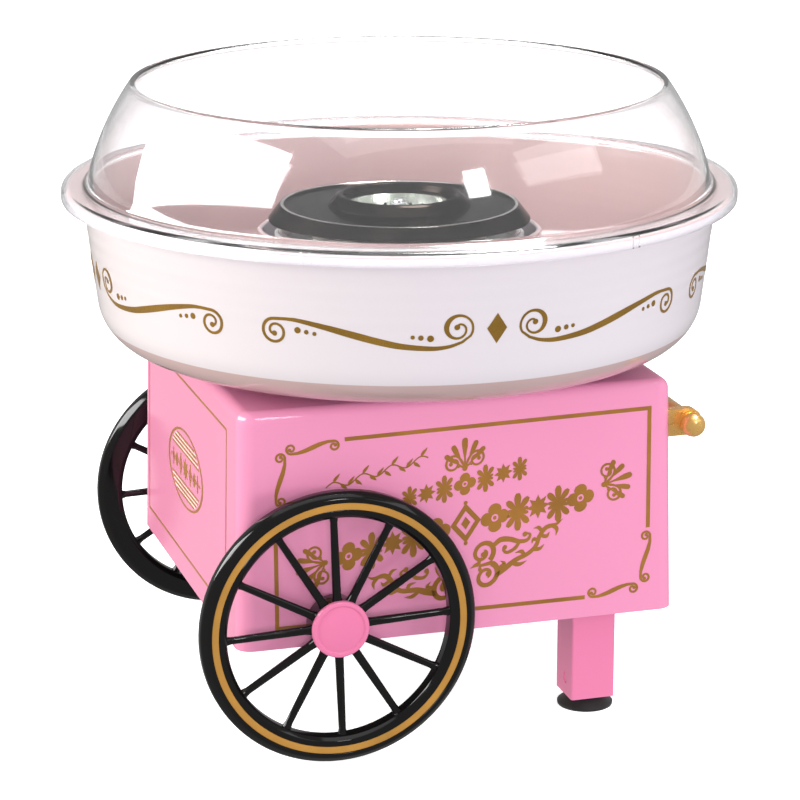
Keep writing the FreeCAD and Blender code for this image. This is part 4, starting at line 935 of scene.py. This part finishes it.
def flourish():
    """Leafy scrollwork under the main border."""
    bold = 1.28              # how much heavier the branches are drawn than their widths here

    def branch(*knots):
        return stroke(*[(u, v, w * bold) for u, v, w in knots])

    shapes = [
        strip(curl((7.9, 81.9), (5.2, 1.1), -52, 470, (2.4, 1.0), 1.3)),
        strip(curl((9.5, 71.2), (5.4, 1.1), 62, -480, (2.5, 1.0), 1.3)),
        dot(8.2, 81.2, 1.2), dot(10.4, 71.8, 1.2),
        branch((12.4, 76.4, 1.6), (9.2, 76.4, 1.2), (6.2, 76.5, 0.9)),
        stroke((7.4, 76.5, 0.4), (5.0, 77.4, 1.9), (2.2, 76.5, 0.1)),
        stroke((6.6, 76.4, 0.4), (6.2, 78.6, 1.6), (7.4, 80.2, 0.1)),
        stroke((6.6, 76.6, 0.4), (6.6, 74.6, 1.6), (8.2, 73.4, 0.1)),
        branch((12.2, 83.6, 1.4), (16.0, 85.6, 1.9), (20.5, 84.6, 1.7), (24.6, 82.4, 1.5),
               (28.4, 81.9, 1.3), (29.8, 84.0, 0.9), (27.6, 85.4, 0.6)),
        dot(27.4, 84.9, 1.15),
        branch((24.8, 82.2, 1.2), (22.8, 79.8, 1.3), (19.2, 78.9, 1.1), (17.4, 80.6, 0.8),
               (18.2, 82.0, 0.5)),
        dot(18.0, 81.5, 1.1),
        branch((13.6, 69.6, 1.4), (18.0, 71.8, 2.1), (22.8, 74.2, 1.8), (29.0, 75.6, 1.6),
               (32.6, 78.2, 1.5), (34.2, 82.0, 1.6), (37.2, 85.0, 1.7), (42.0, 85.2, 1.1),
               (45.0, 86.8, 0.1)),
        branch((40.0, 85.2, 1.2), (42.2, 83.0, 1.3), (41.8, 80.0, 0.1)),
        branch((16.0, 76.0, 0.1), (17.8, 74.2, 1.2), (15.0, 72.8, 1.3)),
        branch((21.0, 73.6, 1.2), (24.6, 71.8, 1.4), (28.2, 72.4, 0.1)),
        branch((27.0, 75.2, 1.1), (25.8, 77.4, 1.3), (22.8, 77.6, 0.1)),
        branch((31.0, 76.8, 1.2), (34.2, 76.2, 1.3), (36.4, 77.6, 0.1)),
        branch((33.6, 80.2, 1.0), (31.4, 81.4, 1.2), (30.6, 79.6, 0.1)),
        branch((35.4, 83.6, 1.0), (33.8, 86.0, 1.2), (31.4, 86.4, 0.1)),
        branch((34.6, 82.2, 1.0), (37.4, 81.0, 1.3), (38.8, 82.6, 0.1)),
    ]
    return moved(both_hands(shapes), PANEL_MIDDLE, lean=0.2)


def front_ornament():
    for name, shapes in (
        ("front_border", main_band()), ("front_upper_border", upper_band()),
        ("front_vine", vine()), ("front_flourish", flourish()),
    ):
        printed(name, shapes, on_front, "cart", PANEL_GOLD)


# ---------------------------------------------------------------- the other three panels


def box_frame(u0, u1):
    """Plain frame line between two edges, mitred at its corners."""
    def loop(grow):
        left, right, low, high = u0 - grow, u1 + grow, FRAME_LOW - grow, FRAME_HIGH + grow
        return [(left, low), (right, low), (right, high), (left, high)]
    return [between(loop(FRAME_LINE / 2), loop(-FRAME_LINE / 2))]


def ellipse(u, v, half_u, half_v, steps=96):
    angles = [2 * math.pi * k / steps for k in range(steps)]
    return [(u + half_u * math.cos(a), v + half_v * math.sin(a)) for a in angles]


def badge():
    """Oval medallion: a ring that thickens at its ends, stripes, and a row of plain motifs."""
    u0, v0, half_u, half_v = 6.6, 101.5, 34.5, 18.0
    gold = [between(ellipse(u0, v0, half_u, half_v), ellipse(u0, v0, half_u - 2.4, half_v - 0.9))]
    cream = []
    for rise in (7.2, 9.3, 11.4, 13.5):
        for side in (-1, 1):
            reach = (half_u - 5.0) * math.sqrt(1 - (rise / (half_v - 1.6)) ** 2)
            gold.append(bar(u0 - reach, v0 + side * rise, u0 + reach, v0 + side * rise, 0.75))
            line = side * (rise + 1.05)
            if rise < 13:
                cream.append(bar(u0 - reach + 1, v0 + line, u0 + reach - 1, v0 + line, 0.6))
    row = both_hands(
        moved(hollow_lozenge(3.0, 8.4), 9.6, -4.2) + moved(quatrefoil(3.2), 17.4, -3.2)
        + moved(hollow_lozenge(2.2, 6.2), 24.0, -3.1) + [dot(28.2, 0, 0.8)]
    )
    gold += moved(moved(star(5.2), 0, -5.2) + row, u0, v0)
    return gold, cream


def side_panels():
    gold, cream = badge()
    frame_line = box_frame(-71.0, 83.0)
    for name, shapes, material in (
        ("end_frame_lines", frame_line, PANEL_GOLD), ("end_badge_gold", gold, PANEL_GOLD),
        ("end_badge_cream", cream, BADGE_CREAM),
    ):
        printed(name, shapes, on_wheel_end, "cart", material)
    plain = box_frame(-76.0, 76.0)
    printed("handle_end_frame_lines", plain, on_handle_end, "cart", PANEL_GOLD)
    rear = box_frame(-84.0, 70.5)
    rear += moved(palmette(), -6.8, 96.0, size=1.5)
    rear += moved(both_hands(corner_scroll()), -6.8, 88.0, size=1.3)
    printed("rear_panel_ornament", rear, on_rear, "cart", PANEL_GOLD)


# ---------------------------------------------------------------- wheels


def spoke(side, angle):
    """Tapered round spoke that flares into the hub and the rim."""
    place = about_axle(side)
    stations = [
        (HUB_R - 1.0, 2.7), (HUB_R + 0.8, 2.15), (HUB_R + 3.0, 1.92), (26.0, 1.84), (40.0, 1.68),
        (RIM_INNER_R - 2.4, 1.62), (RIM_INNER_R - 0.6, 1.95), (RIM_INNER_R + 1.2, 2.7),
    ]
    steps = 20
    points = []
    for reach, radius in stations:
        for k in range(steps):
            a = 2 * math.pi * k / steps
            sideways = radius * math.cos(a)
            turn = angle + math.atan2(sideways, reach)
            points.append(place(math.hypot(reach, sideways), SPOKE_OUT + radius * math.sin(a), turn))
    faces = []
    for i in range(len(stations) - 1):
        for k in range(steps):
            n = (k + 1) % steps
            faces.append((i * steps + k, i * steps + n, (i + 1) * steps + n, (i + 1) * steps + k))
    faces.append(tuple(range(steps)))
    faces.append(tuple(len(points) - 1 - k for k in range(steps)))
    return points, faces


def wheel(side, name):
    """One-piece moulding: rounded tyre bead, stepped rim with a flat for the stripe, spokes, hub."""
    back, face = RIM_OUT
    rim = rounded([
        (RIM_INNER_R, back + 1.0, 1.2), (RIM_INNER_R + 2.5, back, 1.0), (WHEEL_R - 2.5, back, 1.5),
        (WHEEL_R, back + 2.5, 2.0), (WHEEL_R, face - 2.6, 2.4), (WHEEL_R - 2.9, face, 1.4),
        (STRIPE_R[1] + 0.2, face - 0.1, 0.3), (STRIPE_R[1], face - 0.55, 0.15),
        (STRIPE_R[0], face - 0.7, 0.15), (STRIPE_R[0] - 0.3, face - 0.35, 0.3),
        (RIM_INNER_R + 1.7, face - 0.6, 0.9), (RIM_INNER_R, face - 2.4, 1.2),
    ], turn=11.0)
    hub = rounded([
        (AXLE_BORE_R, HUB_IN, 0), (HUB_R, HUB_IN, 1.0), (HUB_R, HUB_OUT, 0.8),
        (HUB_SOCKET[0], HUB_OUT, 0.2), (*HUB_SOCKET, 0), (AXLE_BORE_R, HUB_SOCKET[1], 0),
    ], turn=15.0)
    place = about_axle(side)
    parts = [turned(rim, place, even(240)), turned(hub, place, even(96))]
    for i in range(SPOKES):
        parts.append(spoke(side, math.radians(90 + SPOKE_PHASE + 360 * i / SPOKES)))
    points, faces = joined(*parts)
    body = name + "_wheel"
    piece = build(body + "_moulding", points, faces, body, [FINISHES["wheel_black"]])
    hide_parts(body)
    lift = 0.14              # how far the stripe stands off its flat
    stripe = rounded([
        (STRIPE_R[0] + 0.05, face - 0.9, 0), (STRIPE_R[1] - 0.05, face - 0.75, 0),
        (STRIPE_R[1] - 0.05, face - 0.55 + lift, 0.1), (STRIPE_R[0] + 0.05, face - 0.7 + lift, 0.1),
    ], turn=30.0)
    points, faces = turned(stripe, place, even(240))
    build(body + "_stripe", points, faces, body, [WHEEL_GOLD])


def hubcap(side, name):
    """Cap pressed into the hub: a rolled edge, a groove and a crowned middle."""
    pinhole, seat = 0.01, HUB_OUT + 0.02
    outline = rounded([
        (pinhole, HUB_OUT - 1.0, 0), (CAP_PLUG_R, HUB_OUT - 1.0, 0.2), (CAP_PLUG_R, seat, 0),
        (CAP_R, seat, 0.15), (CAP_R, CAP_GROOVE + 0.35, 0.9),
        (CAP_CROWN_R + 0.9, CAP_GROOVE + 0.6, 0.5), (CAP_CROWN_R + 0.3, CAP_GROOVE - 0.05, 0.2),
    ], turn=15.0)
    for step in range(11):
        radius = CAP_CROWN_R * (1 - step / 10) + pinhole
        outline.append(Vector((radius, CAP_GROOVE + CAP_CROWN * (1 - (radius / CAP_CROWN_R) ** 2))))
    points, faces = turned(outline, about_axle(side), even(120))
    pink = [FINISHES["cap_pink"]]
    piece = build(name + "_hubcap_moulding", points, faces, name + "_wheel", pink)
    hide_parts(name + "_hubcap")


# ---------------------------------------------------------------- CAD nodes that stay


def refinish():
    """Gives every CAD node the procedural material of its slot."""
    for row in frame["record"]["subparts"]:
        node = frame["nodes"][row["node"]]
        node.data.materials.clear()
        node.data.materials.append(FINISHES[row["material_slot"]])


# ---------------------------------------------------------------- studio, in metres

AIM_HEIGHT = 0.15            # height of the point that the lamps stand round and face
VIEW_BEARING = (-16.88, 15.9, 1.4039)  # azimuth, elevation and distance of the camera
VIEW_TARGET = Vector((0.0003, 0, 0.1281))
FLOOR_REACH = 6.0


def aim(thing, target):
    thing.rotation_mode = "QUATERNION"
    thing.rotation_quaternion = (target - thing.location).to_track_quat("-Z", "Y")


def from_bearing(azimuth, elevation, distance):
    """Place at a distance from the origin: azimuth 0 is in front, at -Y, and 90 at +X."""
    a, e = math.radians(azimuth), math.radians(elevation)
    return Vector((math.sin(a) * math.cos(e), -math.cos(a) * math.cos(e), math.sin(e))) * distance


def soft_box(name, azimuth, elevation, distance, width, height, power, colour=(1, 1, 1), use="both", roll=0):
    """Lamp that lights surfaces softly, or only shows in their gloss, or does both."""
    data = bpy.data.lights.new(name, "AREA")
    data.shape = "RECTANGLE"
    data.size, data.size_y = width, height
    data.energy = power
    data.color = colour
    lamp = bpy.data.objects.new(name, data)
    lamp.visible_glossy = lamp.visible_transmission = use != "soft"
    lamp.visible_diffuse = use != "gloss"
    bpy.context.scene.collection.objects.link(lamp)
    middle = Vector((0, 0, AIM_HEIGHT))
    lamp.location = from_bearing(azimuth, elevation, distance) + middle
    aim(lamp, middle)
    lamp.rotation_quaternion = lamp.rotation_quaternion @ Quaternion((0, 0, 1), math.radians(roll))


def paper(name):
    """Matt white backdrop paper with a little light coming through it."""
    material, tree, shader = started(name, Roughness=0.9, Specular_IOR_Level=0.1, Emission_Strength=0.8)
    fibre = graded(tree, noise(tree, 40, 3), (0.3, (0.90, 0.90, 0.90)), (0.7, (0.93, 0.93, 0.93)))
    tree.links.new(fibre, shader.inputs["Base Color"])
    shader.inputs["Emission Color"].default_value = (1, 1, 1, 1)
    return material


def sky(seen, soft, mirrored):
    """White surroundings as seen, dimmer where they light a surface, and dimmer still in gloss."""
    world = bpy.data.worlds.new("studio")
    bpy.context.scene.world = world
    world.use_nodes = True
    tree = world.node_tree
    out = tree.nodes["World Output"]
    ray = add(tree, "LightPath")
    seen_ray = add(tree, "Math", operation="MAXIMUM")
    tree.links.new(ray.outputs["Is Camera Ray"], seen_ray.inputs[0])
    tree.links.new(ray.outputs["Is Transmission Ray"], seen_ray.inputs[1])
    shades = []
    for strength in (soft, mirrored, seen):
        shades.append(add(tree, "Background", Color=(1, 1, 1, 1), Strength=strength).outputs[0])
    below = shades[0]
    for factor, above in ((ray.outputs["Is Glossy Ray"], shades[1]), (seen_ray.outputs[0], shades[2])):
        mix = add(tree, "MixShader")
        tree.links.new(factor, mix.inputs[0])
        tree.links.new(below, mix.inputs[1])
        tree.links.new(above, mix.inputs[2])
        below = mix.outputs[0]
    tree.links.new(below, out.inputs["Surface"])


def lamps():
    soft_box("left_box", -97, 11, 1.5, 1.5, 0.95, 23, (1.0, 0.955, 0.80), "soft")
    soft_box("left_gloss", -99, 28, 1.4, 1.65, 0.56, 42, use="gloss", roll=20)
    soft_box("lamp_gloss", 13.4, 36.3, 1.4, 0.17, 0.24, 2.6, use="gloss")
    soft_box("right_gloss", 52, 36, 1.4, 0.75, 0.30, 1.1, use="gloss", roll=-12)
    soft_box("top_gloss", 100, 73, 1.6, 0.9, 0.5, 38, use="gloss")
    soft_box("top_box", 0, 88, 1.9, 2.0, 2.0, 14)
    soft_box("front_box", -15, 12, 2.2, 0.6, 0.6, 14, use="soft")
    soft_box("right_box", 52, 5, 1.7, 1.1, 0.3, 11, use="soft")
    soft_box("back_box", 140, 32, 2.2, 1.6, 1.0, 8, use="soft")


def ground():
    """Plain pale floor that neither lights the object nor mirrors in it."""
    mesh = bpy.data.meshes.new("studio_floor")
    corners = [(-1, -1, 0), (1, -1, 0), (1, 1, 0), (-1, 1, 0)]
    mesh.from_pydata([Vector(corner) * FLOOR_REACH for corner in corners], [], [(0, 1, 2, 3)])
    mesh.materials.append(paper("studio_floor"))
    floor = bpy.data.objects.new("studio_floor", mesh)
    floor.visible_diffuse = floor.visible_glossy = False
    bpy.context.scene.collection.objects.link(floor)
    floor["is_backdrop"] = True


def camera():
    lens = bpy.data.cameras.new("camera")
    lens.lens = 136.7
    lens.sensor_width = 36.0
    lens.clip_end = 50.0
    viewer = bpy.data.objects.new("camera", lens)
    bpy.context.scene.collection.objects.link(viewer)
    viewer.location = VIEW_TARGET + from_bearing(*VIEW_BEARING)
    aim(viewer, VIEW_TARGET)
    bpy.context.scene.camera = viewer
    bpy.context.scene.view_settings.view_transform = "Standard"


refinish()
bowl()
guard()
bowl_prints()
front_frame()
front_palmettes()
front_ornament()
side_panels()
wheel(-1, "front")
wheel(1, "rear")
hubcap(-1, "front")
hubcap(1, "rear")
lamps()
sky(seen=1.0, soft=0.70, mirrored=0.36)
ground()
camera()

bpy.context.view_layer.update()
boxes = {"cad": cad_box, "visual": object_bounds()}
plain = {name: [list(corner) for corner in box] for name, box in boxes.items()}
